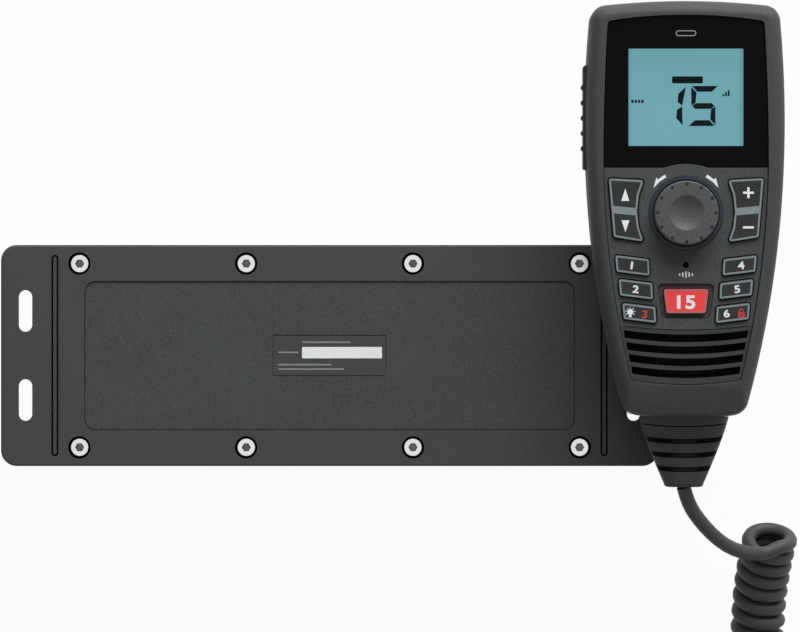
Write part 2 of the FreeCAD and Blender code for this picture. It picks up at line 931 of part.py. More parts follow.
def make_hanger():
    z0, z1 = plate_top_z, hanger_top_z
    foot_x = plate_length / 2 - hanger_foot_start
    arm_x0 = handset_x - hanger_arm_width / 2
    arm_x1 = handset_x + hanger_arm_width / 2
    low, foot_top = -hanger_foot_width / 2, hanger_foot_width / 2
    top = stud_y + hanger_top_reach
    outline = [
        (foot_x, low),
        (arm_x1, low),
        (arm_x1, top),
        (arm_x0, top),
        (arm_x0, foot_top),
        (foot_x, foot_top),
    ]
    plate = rounded_prism(outline, hanger_corner, z0, z1)
    reach = stud_radius + hanger_slot_clearance
    slot = box(handset_x - reach, handset_x + reach, stud_y, top + 1, z0 - 1, z1 + 1)
    seat = rod(reach, handset_x, stud_y, z0 - 1, z1 + 1)
    plate = plate.cut(slot.fuse(seat))
    screws = []
    for y in (-hanger_screw_pitch / 2, hanger_screw_pitch / 2):
        sink_z = z1 - (hanger_screw_head_radius - hanger_screw_radius)
        clear = rod(hanger_screw_radius + thread_gap, slot_x, y, z0 - 1, z1 + 1)
        sink = Part.makeCone(
            hanger_screw_radius + thread_gap,
            hanger_screw_head_radius + thread_gap,
            z1 - sink_z,
            V(slot_x, y, sink_z),
            Z_AXIS,
        )
        plate = plate.cut(clear).cut(sink)
        head = Part.makeCone(
            hanger_screw_radius, hanger_screw_head_radius, z1 - sink_z, V(slot_x, y, sink_z), Z_AXIS
        )
        shank = rod(hanger_screw_radius, slot_x, y, plate_under_z, sink_z)
        screws.append(head.fuse(shank))
    save("hanger_plate", plate)
    save("hanger_screws", Part.makeCompound(screws))


# ---------------------------------------------------------------- handset shapes
def key_points(row):
    """The left key of a row: outer top, inner top, inner bottom, outer bottom."""
    x = -(key_outer_x - row * key_outer_step)
    y = key_top_y - row * key_pitch
    return [
        (x, y),
        (x + key_width, y - key_slant),
        (x + key_width + key_lean * 0.6, y - key_slant - key_height),
        (x + key_lean, y - key_height),
    ]


def centre_key_points():
    low = centre_key_top_y - centre_key_height
    return [
        (-centre_key_top_half, centre_key_top_y),
        (centre_key_top_half, centre_key_top_y),
        (centre_key_low_half, low),
        (-centre_key_low_half, low),
    ]


def rocker_points():
    """The left rocker: its outer side is straight and its inner side hollow, round the knob."""
    outer = fascia_wide_half - rocker_side_distance
    centre_x = rocker_arc_radius - ring_outer_radius - rocker_ring_distance
    points = [(-outer, knob_y + rocker_rise)]
    for i in range(rocker_arc_points):
        turn = math.radians(rocker_arc_angle) * (1 - 2 * i / (rocker_arc_points - 1))
        x = centre_x - rocker_arc_radius * math.cos(turn)
        points.append((x, knob_y + rocker_arc_lift + rocker_arc_radius * math.sin(turn)))
    points.append((-outer + rocker_lean, knob_y - rocker_drop))
    return points


ROCKER = rocker_points()
NAMES = ["top", "middle", "bottom"]


def all_keys():
    keys = {}
    for row in range(key_rows):
        keys["key_left_" + NAMES[row]] = key_points(row)
        keys["key_right_" + NAMES[row]] = mirrored(key_points(row))
    keys["key_centre"] = centre_key_points()
    return keys


def rockers():
    return {"channel_rocker": ROCKER, "scan_rocker": mirrored(ROCKER)}


def middle_of(points):
    xs = [p[0] for p in points]
    ys = [p[1] for p in points]
    return (min(xs) + max(xs)) / 2, (min(ys) + max(ys)) / 2


def case_screw_places():
    places = []
    for side in (-1, 1):
        places.append((side * case_screw_top_x, case_screw_top_y))
        places.append((side * case_screw_low_x, case_screw_low_y))
    return places


def key_holes(z0, z1):
    holes = []
    for points in list(all_keys().values()) + list(rockers().values()):
        holes.append(rounded_prism(grown(points, key_gap), key_corner + key_gap, z0, z1))
    return holes


def ptt_box(extra, x0, x1):
    half_y = ptt_length / 2 + extra
    half_z = ptt_height / 2 + extra
    body = box(
        x0, x1, ptt_y - half_y, ptt_y + half_y, ptt_height_centre - half_z, ptt_height_centre + half_z
    )
    return body


def boot_ellipse(half, depth, y):
    """An ellipse across the boot's axis; depth is its half height."""
    centre = V(0, y, boot_height)
    if half >= depth:
        curve = Part.Ellipse(centre + V(half, 0, 0), centre + V(0, 0, depth), centre)
    else:
        curve = Part.Ellipse(centre + V(0, 0, depth), centre + V(half, 0, 0), centre)
    return Part.Wire([curve.toShape()])


def boot_prism(half, depth, y0, y1):
    return Part.Face(boot_ellipse(half, depth, y0)).extrude(V(0, y1 - y0, 0))


def chin_wedge():
    """The space above the chin's front face, which slopes back towards the cord."""
    start = V(-handset_width, chin_slope_start, handset_depth)
    run = chin_slope_start + 5 * chin_sag
    low = start + V(0, -run, -run * math.tan(math.radians(chin_slope)))
    above = V(0, 0, 5 * chin_sag)
    corners = [start, low, low + above, start + above]
    return Part.Face(Part.makePolygon(corners + [start])).extrude(V(2 * handset_width, 0, 0))


def make_front_shell():
    z0 = parting_height + parting_gap
    outer = shell_loft(
        [
            (z0, 0.0),
            (handset_depth - 6.0, 0.0),
            (handset_depth - 3.4, 0.5),
            (handset_depth - 1.5, 1.5),
            (handset_depth - 0.4, 2.7),
            (handset_depth, 3.9),
        ]
    )
    tools = [outline_prism(shell_wall, z0 - 1, roof_z)]
    tools.append(fascia_prism(0.0, ledge_z, handset_depth + 1))
    tools.append(chin_wedge())
    bosses = []
    for x, y in case_screw_places():
        bosses.append(rod(case_boss_radius, x, y, z0, roof_z + 0.2))
    body = fuse_all([cut_all(outer, tools)] + bosses)
    tools = []
    above = ledge_z + 1
    for x, y in case_screw_places():
        top = case_screw_sink + case_screw_length + 0.5
        tools.append(rod(case_screw_radius + thread_gap, x, y, z0 - 1, top))
    window = window_length + 2 * window_margin
    tall = window_height + 2 * window_margin
    tools.append(slab(window, tall, 1.0, roof_z - 1, above, 0, window_y))
    tools.append(rod(bushing_radius + bushing_fit, 0, knob_y, roof_z - 1, above))
    tools.append(rod(speaker_cone_radius, 0, speaker_y, roof_z - 1, above))
    tools.append(rod(mic_hole_radius, 0, mic_y, roof_z - 1, above))
    tools += key_holes(roof_z - 1, above)
    tools.append(ptt_box(ptt_gap, -handset_width, -handset_width / 4))
    tools.append(boot_prism(boot_neck_half + wall_fit, boot_neck_depth + wall_fit, -2, shell_wall + 4))
    save("front_shell", cut_all(body, tools), HANDSET)


def make_rear_shell():
    z1 = parting_height - parting_gap
    outer = shell_loft(
        [(0.0, 3.5), (0.6, 2.4), (2.0, 1.2), (4.2, 0.4), (7.0, 0.0), (z1, 0.0)]
    )
    cavity = outline_prism(shell_wall, 5.0, z1 + 1).fuse(outline_prism(3.4, back_wall, 5.5))
    body = outer.cut(cavity)
    bosses = []
    for x, y in case_screw_places():
        bosses.append(rod(case_boss_radius, x, y, 1.0, z1))
    bosses.append(rod(stud_boss_radius, 0, stud_height_on_back, 1.0, z1 - 1))
    body = fuse_all([body] + bosses)
    tools = []
    for x, y in case_screw_places():
        tools.append(rod(case_screw_head_radius + 0.2, x, y, -1, case_screw_sink))
        tools.append(rod(case_screw_radius + screw_clearance, x, y, -1, z1 + 1))
    tools.append(rod(stud_screw_radius + thread_gap, 0, stud_height_on_back, -1, z1 - 2))
    tools.append(boot_prism(boot_neck_half + wall_fit, boot_neck_depth + wall_fit, -2, shell_wall + 4))
    save("rear_shell", cut_all(body, tools), HANDSET)


def make_case_seal():
    z0, z1 = parting_height - parting_gap, parting_height + parting_gap
    ring = outline_prism(0.5, z0, z1).cut(outline_prism(shell_wall - 0.2, z0 - 1, z1 + 1))
    gap = boot_prism(boot_neck_half + wall_fit, boot_neck_depth + wall_fit, -2, shell_wall + 4)
    save("case_seal", ring.cut(gap), HANDSET)


def make_case_screws():
    screws = []
    for x, y in case_screw_places():
        head_z = case_screw_sink - case_screw_head_height
        head = rod(case_screw_head_radius, x, y, head_z, case_screw_sink)
        shank = rod(case_screw_radius, x, y, case_screw_sink, case_screw_sink + case_screw_length)
        key = hexagon_z(case_screw_radius * 1.6, x, y, head_z - 1, head_z + 0.9)
        screws.append(head.fuse(shank).cut(key))
    save("case_screws", Part.makeCompound(screws), HANDSET)


def grille_slot(row, z0, z1):
    half = grille_half - row * grille_half_step
    y = grille_top_y - row * grille_pitch
    low = y - grille_opening
    a, b = V(-half, y, z0), V(half, y, z0)
    c, d = V(half - grille_end_slope, low, z0), V(-half + grille_end_slope, low, z0)
    edges = [
        arc(a, V(0, y - grille_sag, z0), b),
        line(b, c),
        arc(c, V(0, low - grille_sag, z0), d),
        line(d, a),
    ]
    return extrude(Part.Wire(edges), z1 - z0)


def hump(extra):
    """The round top of the keypad panel, which reaches into the lens."""
    return rod(hump_radius + extra, 0, hump_top_y - hump_radius, 0, handset_depth * 2)


def make_keypad_panel():
    whole = fascia_prism(panel_gap, ledge_z, fascia_z)
    below = box(-wide_half, wide_half, 0, panel_top_y, 0, handset_depth * 2)
    body = whole.common(below.fuse(hump(0.0)))
    above = fascia_z + 1
    tools = key_holes(ledge_z - 1, above)
    tools += [grille_slot(row, ledge_z - 1, above) for row in range(grille_rows)]
    tools.append(rod(mic_hole_radius, 0, mic_y, ledge_z - 1, above))
    tools.append(rod(bushing_radius + bushing_fit, 0, knob_y, ledge_z - 1, above))
    tools.append(rod(ring_outer_radius + wall_fit, 0, knob_y, ring_seat_z, above))
    bezel = grown(centre_key_points(), bezel_margin)
    tools.append(rounded_prism(bezel, 2 * key_corner, fascia_z - bezel_depth, above))
    save("keypad_panel", cut_all(body, tools), HANDSET)


def make_display_lens():
    whole = fascia_prism(panel_gap, ledge_z, fascia_z)
    above = box(-wide_half, wide_half, panel_top_y + panel_gap, handset_length, 0, handset_depth)
    save("display_lens", whole.common(above).cut(hump(panel_gap)), HANDSET)


def make_display_stack():
    length = window_length + 2 * lcd_margin
    height = window_height + 2 * lcd_margin
    lcd_z = lcd_top_z - lcd_thickness
    save("lcd_panel", slab(length, height, 0.6, lcd_z, lcd_top_z, 0, window_y), HANDSET)
    guide_z = guide_top_z - guide_thickness
    save("light_guide", slab(length, height, 0.6, guide_z, guide_top_z, 0, window_y), HANDSET)
    gap = stack_gap
    wide = length + 2 * (gap + frame_wall)
    tall = height + 2 * (gap + frame_wall)
    outer = slab(wide, tall, 1.2, handset_board_top_z, lcd_top_z, 0, window_y)
    inner = slab(length + 2 * gap, height + 2 * gap, 0.8, handset_board_top_z - 1, lcd_top_z + 1,
                 0, window_y)
    save("lcd_frame", outer.cut(inner), HANDSET)


def make_handset_board():
    top_half = fascia_top_half - handset_board_margin
    wide = fascia_wide_half - handset_board_margin
    low_half = fascia_low_half + handset_board_margin - 1.45
    points = [
        (-low_half, handset_board_low_y),
        (low_half, handset_board_low_y),
        (wide, fascia_wide_y),
        (top_half, handset_board_top_y),
        (-top_half, handset_board_top_y),
        (-wide, fascia_wide_y),
    ]
    body = rounded_prism(points, 1.5, handset_board_z, handset_board_top_z)
    below, above = handset_board_z - 1, handset_board_top_z + 1
    notches = [rod(case_boss_radius + 0.4, x, y, below, above) for x, y in case_screw_places()]
    save("handset_board", cut_all(body, notches), HANDSET)


def make_keypad_mat():
    wide = fascia_wide_half - handset_board_margin - 1
    low_half = fascia_low_half + handset_board_margin - 2.25
    z0 = handset_board_top_z
    points = [
        (-low_half, handset_board_low_y + 1.4),
        (low_half, handset_board_low_y + 1.4),
        (wide, fascia_wide_y - 2.4),
        (-wide, fascia_wide_y - 2.4),
    ]
    sheet = rounded_prism(points, 1.5, z0, mat_top_z)
    domes = []
    for points in all_keys().values():
        x, y = middle_of(points)
        domes.append(rod(dome_radius, x, y, z0, dome_top_z))
    for points in rockers().values():
        x, y = middle_of(points)
        for side in (-1, 1):
            domes.append(rod(dome_radius, x, y + side * rocker_dome_distance, z0, dome_top_z))
    body = fuse_all([sheet] + domes)
    reach = encoder_side / 2 + 0.4
    hole = box(-reach, reach, knob_y - reach, knob_y + reach, z0 - 1, dome_top_z + 1)
    mic = rod(mic_radius + 0.4, 0, mic_y, z0 - 1, dome_top_z + 1)
    save("keypad_mat", cut_all(body, [hole, mic]), HANDSET)


def make_speaker():
    top = roof_z - cloth_thickness - 2 * cloth_gap
    cloth = rod(speaker_radius, 0, speaker_y, top + cloth_gap, roof_z - cloth_gap)
    save("grille_cloth", cloth, HANDSET)
    flange_z = top - speaker_flange_thickness
    cone_z = flange_z - speaker_cone_depth
    flange = rod(speaker_radius, 0, speaker_y, flange_z, top)
    cone = Part.makeCone(
        speaker_magnet_radius + 1,
        speaker_cone_radius,
        speaker_cone_depth,
        V(0, speaker_y, cone_z),
        Z_AXIS,
    )
    magnet = rod(speaker_magnet_radius, 0, speaker_y, cone_z - speaker_magnet_depth, cone_z)
    save("speaker", fuse_all([flange, cone, magnet]), HANDSET)


def make_mic_capsule():
    top = roof_z - stack_gap
    save("mic_capsule", rod(mic_radius, 0, mic_y, handset_board_top_z, top), HANDSET)


def make_encoder():
    z0 = handset_board_top_z
    reach = encoder_side / 2
    shoulder = roof_z - 3 * stack_gap
    case = box(-reach, reach, knob_y - reach, knob_y + reach, z0, shoulder)
    bushing = rod(bushing_radius, 0, knob_y, shoulder, ring_seat_z)
    floor = z0 + 1.5
    bore = rod(shaft_radius + shaft_fit, 0, knob_y, floor, ring_seat_z + 1)
    save("encoder_body", case.fuse(bushing).cut(bore), HANDSET)
    knob_z = ring_seat_z + knob_gap
    shaft_top = knob_z + knob_height - knob_dish_depth - 1.2
    save("encoder_shaft", rod(shaft_radius, 0, knob_y, floor + 0.3, shaft_top), HANDSET)


def make_knob():
    z0 = ring_seat_z + knob_gap
    z1 = z0 + knob_height
    waist = knob_radius - 0.15
    profile = [
        V(0, 0, z0),
        V(knob_radius, 0, z0),
        V(knob_radius, 0, z0 + 1.6),
        V(waist, 0, z1 - knob_crown),
    ]
    shoulder_end = V(knob_radius - knob_crown, 0, z1)
    shoulder_mid = V(knob_radius - 0.4 * knob_crown, 0, z1 - 0.3 * knob_crown)
    top = V(0, 0, z1)
    edges = [line(profile[i], profile[i + 1]) for i in range(3)]
    edges.append(arc(profile[3], shoulder_mid, shoulder_end))
    edges.append(line(shoulder_end, top))
    edges.append(line(top, profile[0]))
    body = Part.Face(Part.Wire(edges)).revolve(V(0, 0, 0), Z_AXIS, 360)
    body.translate(V(0, knob_y, 0))
    dish = (knob_dish_radius ** 2 + knob_dish_depth ** 2) / (2 * knob_dish_depth)
    tools = [Part.makeSphere(dish, V(0, knob_y, z1 - knob_dish_depth + dish))]
    shaft_top = z1 - knob_dish_depth - 1.2
    tools.append(rod(shaft_radius + thread_gap, 0, knob_y, z0 - 1, shaft_top + 0.1))
    hollow = rod(knob_radius - 1.8, 0, knob_y, z0 - 1, z0 + knob_height * 0.45)
    tools.append(hollow.cut(rod(shaft_radius + 1.8, 0, knob_y, z0 - 2, z1)))
    for i in range(knob_dimples):
        turn = 2 * math.pi * i / knob_dimples
        x = knob_dimple_circle * math.sin(turn)
        y = knob_y + knob_dimple_circle * math.cos(turn)
        low, high = z1 - knob_dimple_depth, z1 + 1
        core = rod(knob_dimple_core, x, y, low - 1, high + 1)
        tools.append(rod(knob_dimple_radius, x, y, low, high).cut(core))
    save("knob", cut_all(body, tools), HANDSET)
    outer = rod(ring_outer_radius, 0, knob_y, ring_seat_z, ring_seat_z + ring_height)
    inner = rod(ring_inner_radius, 0, knob_y, ring_seat_z - 1, ring_seat_z + ring_height + 1)
    save("knob_ring", outer.cut(inner), HANDSET)


def make_keys():
    flange_top = roof_z - key_gap
    flange_z = flange_top - key_flange_thickness
    stem_z = dome_top_z + stem_gap
    for node, points in all_keys().items():
        cap = rounded_prism(points, key_corner, flange_z, key_top_z)
        flange = rounded_prism(grown(points, key_flange), key_corner, flange_z, flange_top)
        stem = rounded_prism(grown(points, -key_stem_inset), 0.3, stem_z, flange_z)
        save(node, fuse_all([cap, flange, stem]), HANDSET)


def make_rockers():
    flange_top = roof_z - key_gap - rocker_travel_room
    flange_z = flange_top - key_flange_thickness
    stem_z = dome_top_z + rocker_travel_room + 0.3
    for node, points in rockers().items():
        cap = rounded_prism(points, rocker_corner, flange_z, fascia_z + rocker_proud)
        flange = rounded_prism(grown(points, key_flange), rocker_corner, flange_z, flange_top)
        x, y = middle_of(points)
        stems = [
            rod(rocker_stem_radius, x, y + side * rocker_dome_distance, stem_z, flange_z)
            for side in (-1, 1)
        ]
        half = rocker_fulcrum_half
        foot_z = mat_top_z + rocker_fulcrum_gap
        foot = rod_x(rocker_axis_z - foot_z, x - half, x + half, y, rocker_axis_z)
        room = box(x - half, x + half, y - half, y + half, foot_z - 1, flange_z)
        save(node, fuse_all([cap, flange, foot.common(room)] + stems), HANDSET)


def make_push_to_talk():
    wall_x = -(wide_half - shell_wall)
    flange_x = wall_x + ptt_flange_gap
    face_x = -ptt_reach
    pad_x = face_x + ptt_pad_thickness
    pad = ptt_box(0.0, face_x, pad_x)
    edges = [e for e in pad.Edges if e.BoundBox.XMax < face_x + 0.01]
    pad = pad.makeFillet(0.7, edges)
    nubs = []
    half_z = ptt_height / 2 - 1.2
    for i in range(ptt_nubs):
        y = ptt_y + ptt_nub_pitch * (i - (ptt_nubs - 1) / 2)
        x = face_x - ptt_nub_proud + ptt_nub_radius
        low = V(x, y, ptt_height_centre - half_z)
        nubs.append(Part.makeCylinder(ptt_nub_radius, 2 * half_z, low, Z_AXIS))
    save("ptt_pad", fuse_all([pad] + nubs), HANDSET)
    body = ptt_box(0.0, pad_x, flange_x)
    flange = ptt_box(ptt_flange, flange_x, flange_x + ptt_flange_thickness)
    save("ptt_lever", body.fuse(flange).removeSplitter(), HANDSET)
    tip_x = flange_x + ptt_flange_thickness + ptt_travel + ptt_plunger_gap
    switch_x = tip_x + 0.8
    y0, y1 = ptt_y - ptt_switch_length / 2, ptt_y + ptt_switch_length / 2
    z0 = handset_board_z - ptt_switch_height
    case = box(switch_x, switch_x + ptt_switch_depth, y0, y1, z0, handset_board_z)
    plunger = rod_x(ptt_plunger_radius, tip_x, switch_x, ptt_y, handset_board_z - ptt_switch_height / 2)
    save("ptt_switch", case.fuse(plunger), HANDSET)


def make_hang_stud():
    y = stud_height_on_back
    neck_z = -(handset_lift_gap + hanger_thickness + stud_clearance)
    head_z = neck_z - stud_head_thickness
    neck = rod(stud_radius, 0, y, neck_z, 0)
    head = rod(stud_head_radius, 0, y, head_z, neck_z)
    body = neck.fuse(head).removeSplitter()
    sink = Part.makeCone(
        stud_screw_radius * 2 + thread_gap, stud_screw_radius + thread_gap, stud_screw_radius,
        V(0, y, head_z), Z_AXIS,
    )
    body = cut_all(body, [rod(stud_screw_radius + thread_gap, 0, y, head_z - 1, 1), sink])
    save("hang_stud", body, HANDSET)
    cap = Part.makeCone(
        stud_screw_radius * 2, stud_screw_radius, stud_screw_radius, V(0, y, head_z), Z_AXIS
    )
    shank = rod(stud_screw_radius, 0, y, head_z + stud_screw_radius, head_z + stud_screw_length)
    save("stud_screw", cap.fuse(shank), HANDSET)


def boot_size(along):
    """The boot's half width and half height at a distance from its root."""
    share = along / boot_length
    half = boot_root_half + (boot_tip_half - boot_root_half) * share ** boot_taper
    depth = boot_root_depth + (boot_tip_depth - boot_root_depth) * share
    return half, depth


def boot_core(cut_depth):
    """The boot's body, lower by the cut's depth and as wide, so that cuts run out at its sides."""
    wires = []
    for share in (-0.2, 0.0, 0.2, 0.4, 0.6, 0.8, 1.0, 1.1):
        half, depth = boot_size(max(share, 0) * boot_length)
        half += boot_groove_side_fit
        wires.append(boot_ellipse(half, depth - cut_depth, -boot_gap - share * boot_length))
    return Part.makeLoft(wires, True, True)


def boot_band(middle, width):
    """A leaning slice of space across the boot, centred at a distance from its root."""
    y0 = -boot_gap - middle - width / 2
    reach = 2 * boot_root_half
    band = box(-reach, reach, y0, y0 + width, boot_height - reach, boot_height + reach)
    centre = V(0, -boot_gap - middle, boot_height)
    band.rotate(centre, X_AXIS, boot_groove_tilt)
    return band


def boot_groove(middle):
    """A groove over and under the boot that is shallower over its middle."""
    strip = box(
        -boot_bridge_half, boot_bridge_half, -boot_gap - boot_length, 0, 0, handset_depth
    )
    bridge = boot_core(boot_bridge_recess).common(strip)
    return boot_band(middle, boot_groove_width).cut(boot_core(boot_groove_depth).fuse(bridge))


def make_cord_boot():
    round_start = boot_length - boot_tip_round
    wires = []
    for share in (0.0, 0.2, 0.4, 0.6, 0.8, 1.0):
        half, depth = boot_size(share * round_start)
        wires.append(boot_ellipse(half, depth, -boot_gap - share * round_start))
    for turn in (30, 60, 90):
        back = boot_tip_round * (1 - math.cos(math.radians(turn)))
        y = -boot_gap - round_start - boot_tip_round * math.sin(math.radians(turn))
        wires.append(boot_ellipse(half - back, depth - back, y))
    body = Part.makeLoft(wires, True, True)
    neck_end = shell_wall + 0.5
    neck = boot_prism(boot_neck_half, boot_neck_depth, -boot_gap, neck_end)
    flange = boot_prism(
        boot_neck_half + boot_flange_extra,
        boot_neck_depth + boot_flange_extra,
        neck_end,
        neck_end + boot_flange_thickness,
    )
    body = body.fuse(neck).fuse(flange)
    collar_line = boot_band(boot_collar_line, boot_collar_line_width)
    rings = [collar_line.cut(boot_core(boot_collar_line_depth))]
    rings += [boot_groove(boot_groove_first + i * boot_groove_pitch) for i in range(boot_grooves)]
    body = cut_all(body, rings)
    save("cord_boot", body, HANDSET)


# ---------------------------------------------------------------- cord
boot_end = V(handset_x, handset_bottom_y - boot_gap - boot_length, handset_z + boot_height)
TAIL_ROUTE = [
    boot_end,
    V(112.2, -45.2, 51.2),
    V(114.7, -50.0, 49.1),
    V(122.2, -57.3, 44.6),
    V(129.4, -61.8, 38.8),
    V(138.2, -63.3, 32.4),
]
COIL_ROUTE = [
    V(140.3, -57.0, 26.6),
    V(137.6, -70.4, 18.4),
    V(136.8, -90.5, 9.9),
    V(136.4, -115.0, 8.9),
    V(127.2, -137.2, 8.9),
    V(110.2, -154.2, 8.9),
    V(88.0, -163.4, 8.9),
    V(62.0, -164.6, 8.9),
    V(36.0, -162.6, 8.9),
    V(10.0, -164.9, 8.9),
    V(-14.0, -163.6, 8.9),
]
END_ROUTE = [
    V(-14.0, -163.6, 8.9),
    V(-30.0, -162.4, 7.6),
    V(-48.0, -164.4, 7.6),
    V(-63.0, -163.8, plug_axis_z),
]


def route_wire(points):
    """Straight runs joined by tangent arcs, and the smallest arc radius."""
    edges = []
    start = points[0]
    radii = []
    for before, here, after in zip(points, points[1:], points[2:]):
        back = before - here
        ahead = after - here
        cut = 0.45 * min(back.Length, ahead.Length)
        back.normalize()
        ahead.normalize()
        half = back.getAngle(ahead) / 2
        radius = cut * math.tan(half)
        middle = back + ahead
        middle.normalize()
        first = here + back * cut
        last = here + ahead * cut
        top = here + middle * (radius / math.sin(half) - radius)
        edges.append(line(start, first))
        edges.append(arc(first, top, last))
        start = last
        radii.append(radius)
    edges.append(line(start, points[-1]))
    return Part.Wire(edges), radii


def cord_tube(node, points, radius, housings=()):
    """A cord along its route; its ends are trimmed flat where they meet their housings."""
    path, radii = route_wire(points)
    heading = points[1] - points[0]
    section = Part.Wire([Part.Circle(points[0], heading, radius).toShape()])
    body = path.makePipeShell([section], True, False)
    full = math.pi * radius * radius * path.Length
    print(node, "length %.1f" % path.Length, "volume share %.4f" % (body.Volume / full))
    print("   arc radii", ["%.1f" % r for r in radii])
    save(node, cut_all(body, housings))


def boot_side(end):
    """The space behind the boot's tip face."""
    reach = 3 * cord_radius
    return box(end.x - reach, end.x + reach, end.y, end.y + reach, end.z - reach, end.z + reach)


def plug_side(end):
    """The space behind the plug boot's tip face."""
    reach = 3 * cord_radius
    return box(end.x - reach, end.x, end.y - reach, end.y + reach, end.z - reach, end.z + reach)


def make_plug():
    end = END_ROUTE[-1]
    y, z = end.y, end.z
    boot_x = end.x - plug_boot_length
    collar_x = boot_x - plug_body_length
    nose_root_x = collar_x - plug_collar_length
    nose_x = nose_root_x - plug_nose_length
    boot = Part.makeCone(
        plug_body_radius - 0.8, cord_radius + 0.6, plug_boot_length, V(boot_x, y, z), X_AXIS
    )
    save("plug_boot", boot)
    grip = rod_x(plug_body_radius, collar_x, boot_x, y, z)
    collar = rod_x(plug_collar_radius, nose_root_x, collar_x, y, z)
    nose = rod_x(plug_nose_radius, nose_x, nose_root_x, y, z)
    insert_x = nose_root_x + plug_insert_thickness
    shell = fuse_all([grip, collar, nose]).cut(rod_x(plug_nose_bore, nose_x - 1, insert_x, y, z))
    save("plug_body", shell)
    insert = rod_x(plug_nose_bore - thread_gap, nose_root_x, insert_x, y, z)
    places = pin_places(y, z)
    holes = [rod_x(pin_radius, nose_root_x - 1, insert_x + 1, a, b) for a, b in places]
    pins = [rod_x(pin_radius, nose_x + insert_recess, insert_x, a, b) for a, b in places]
    save("plug_insert", cut_all(insert, holes))
    save("plug_pins", Part.makeCompound(pins))
    lip_x = collar_x + plug_end_play
    ring_end = lip_x + plug_ring_lip
    ring_x = ring_end - plug_ring_length
    ring = rod_x(plug_ring_radius, ring_x, ring_end, y, z)
    ring = ring.cut(rod_x(plug_thread_radius, ring_x - 1, lip_x, y, z))
    ring = ring.cut(rod_x(plug_body_radius + plug_ring_fit, ring_x, ring_end + 1, y, z))
    for i in range(plug_ring_ribs):
        turn = 2 * math.pi * i / plug_ring_ribs
        rib_y = y + plug_ring_radius * math.cos(turn)
        rib_z = z + plug_ring_radius * math.sin(turn)
        ring = ring.cut(rod_x(0.5, ring_x + 1, ring_end - 1, rib_y, rib_z))
    save("plug_ring", ring)


make_mounting_plate()
make_rating_label()
make_lid_gasket()
make_lid_screws()
make_body_casting()
make_main_board()
make_board_screws()
make_shield_can()
make_capacitors()
make_power_module()
make_antenna_socket()
make_handset_socket()
make_gland("power_gland", power_gland_z, power_gland_radius, power_gland_bore)
make_gland("speaker_gland", speaker_gland_z, speaker_gland_radius, speaker_gland_bore)
make_hanger()
make_front_shell()
make_rear_shell()
make_case_seal()
make_case_screws()
make_keypad_panel()
make_display_lens()
make_display_stack()
make_handset_board()
make_keypad_mat()
make_speaker()
make_mic_capsule()
make_encoder()
make_knob()
make_keys()
make_rockers()
make_push_to_talk()
make_hang_stud()
make_cord_boot()
cord_tube("cord_tail", TAIL_ROUTE, cord_radius, [boot_side(TAIL_ROUTE[0])])
cord_tube("cord_coil", COIL_ROUTE, coil_radius)
cord_tube("cord_end", END_ROUTE, cord_radius, [plug_side(END_ROUTE[-1])])
make_plug()
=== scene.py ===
"""A marine radio: a flat sealed transceiver box and the handset that hangs on its right ear."""

import json
import math

import bmesh
import bpy
from mathutils import Matrix, Vector


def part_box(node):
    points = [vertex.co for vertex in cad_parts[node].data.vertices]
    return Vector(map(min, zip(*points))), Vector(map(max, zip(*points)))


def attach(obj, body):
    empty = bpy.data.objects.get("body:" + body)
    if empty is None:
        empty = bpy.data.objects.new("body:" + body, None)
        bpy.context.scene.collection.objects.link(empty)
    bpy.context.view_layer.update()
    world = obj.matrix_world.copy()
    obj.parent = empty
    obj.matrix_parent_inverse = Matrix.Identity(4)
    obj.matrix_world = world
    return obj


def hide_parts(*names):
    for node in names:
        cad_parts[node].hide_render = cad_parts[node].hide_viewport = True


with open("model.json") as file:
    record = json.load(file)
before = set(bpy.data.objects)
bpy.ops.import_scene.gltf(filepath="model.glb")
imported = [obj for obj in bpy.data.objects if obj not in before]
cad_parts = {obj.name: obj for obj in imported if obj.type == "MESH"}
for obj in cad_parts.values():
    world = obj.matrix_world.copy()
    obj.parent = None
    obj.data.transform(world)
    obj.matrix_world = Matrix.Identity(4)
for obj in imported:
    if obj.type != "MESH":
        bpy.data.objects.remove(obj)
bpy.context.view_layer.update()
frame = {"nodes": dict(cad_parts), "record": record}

bl_info = {
    "name": "Marine Radio",
    "version": (1, 0, 0),
    "blender": (4, 5, 0),
    "location": "View3D > Sidebar > Marine Radio",
    "description": "Builds the pieces and finishes of a marine radio and its handset",
    "category": "Object",
}

MM = 0.001
PRINT = 0.03
SMOOTH_ANGLE = math.radians(32)
BEVEL_ANGLE = math.radians(35)
FLAT_WITHIN = math.radians(0.5)
MERGE_WITHIN = 0.0005 * MM

# The transceiver's plate, in millimetres from the origin.
PLATE_TOP_Z = 38.0
SCREW_PLACES = [(x, y) for x in (-79.2, -26.4, 26.4, 79.2) for y in (-29.1, 29.1)]
COUNTERBORE_RADIUS = 3.65
SCREW_KEY_RADIUS = 1.5
SCREW_KEY_Z = (33, 35.3)
BEAD_X = 86.9
BEAD_HALF = (1.15, 33)
BEAD_DEPTH = 1.0
PLATE_FACE_DEPTH = 0.28
LABEL_RULES = [(-8.6, 6.5, 4.2), (-16.2, -9.8, 1.0), (-16.2, 0.6, -2.9), (-16.2, 4.6, -4.3)]
RULE_HALF = 0.22

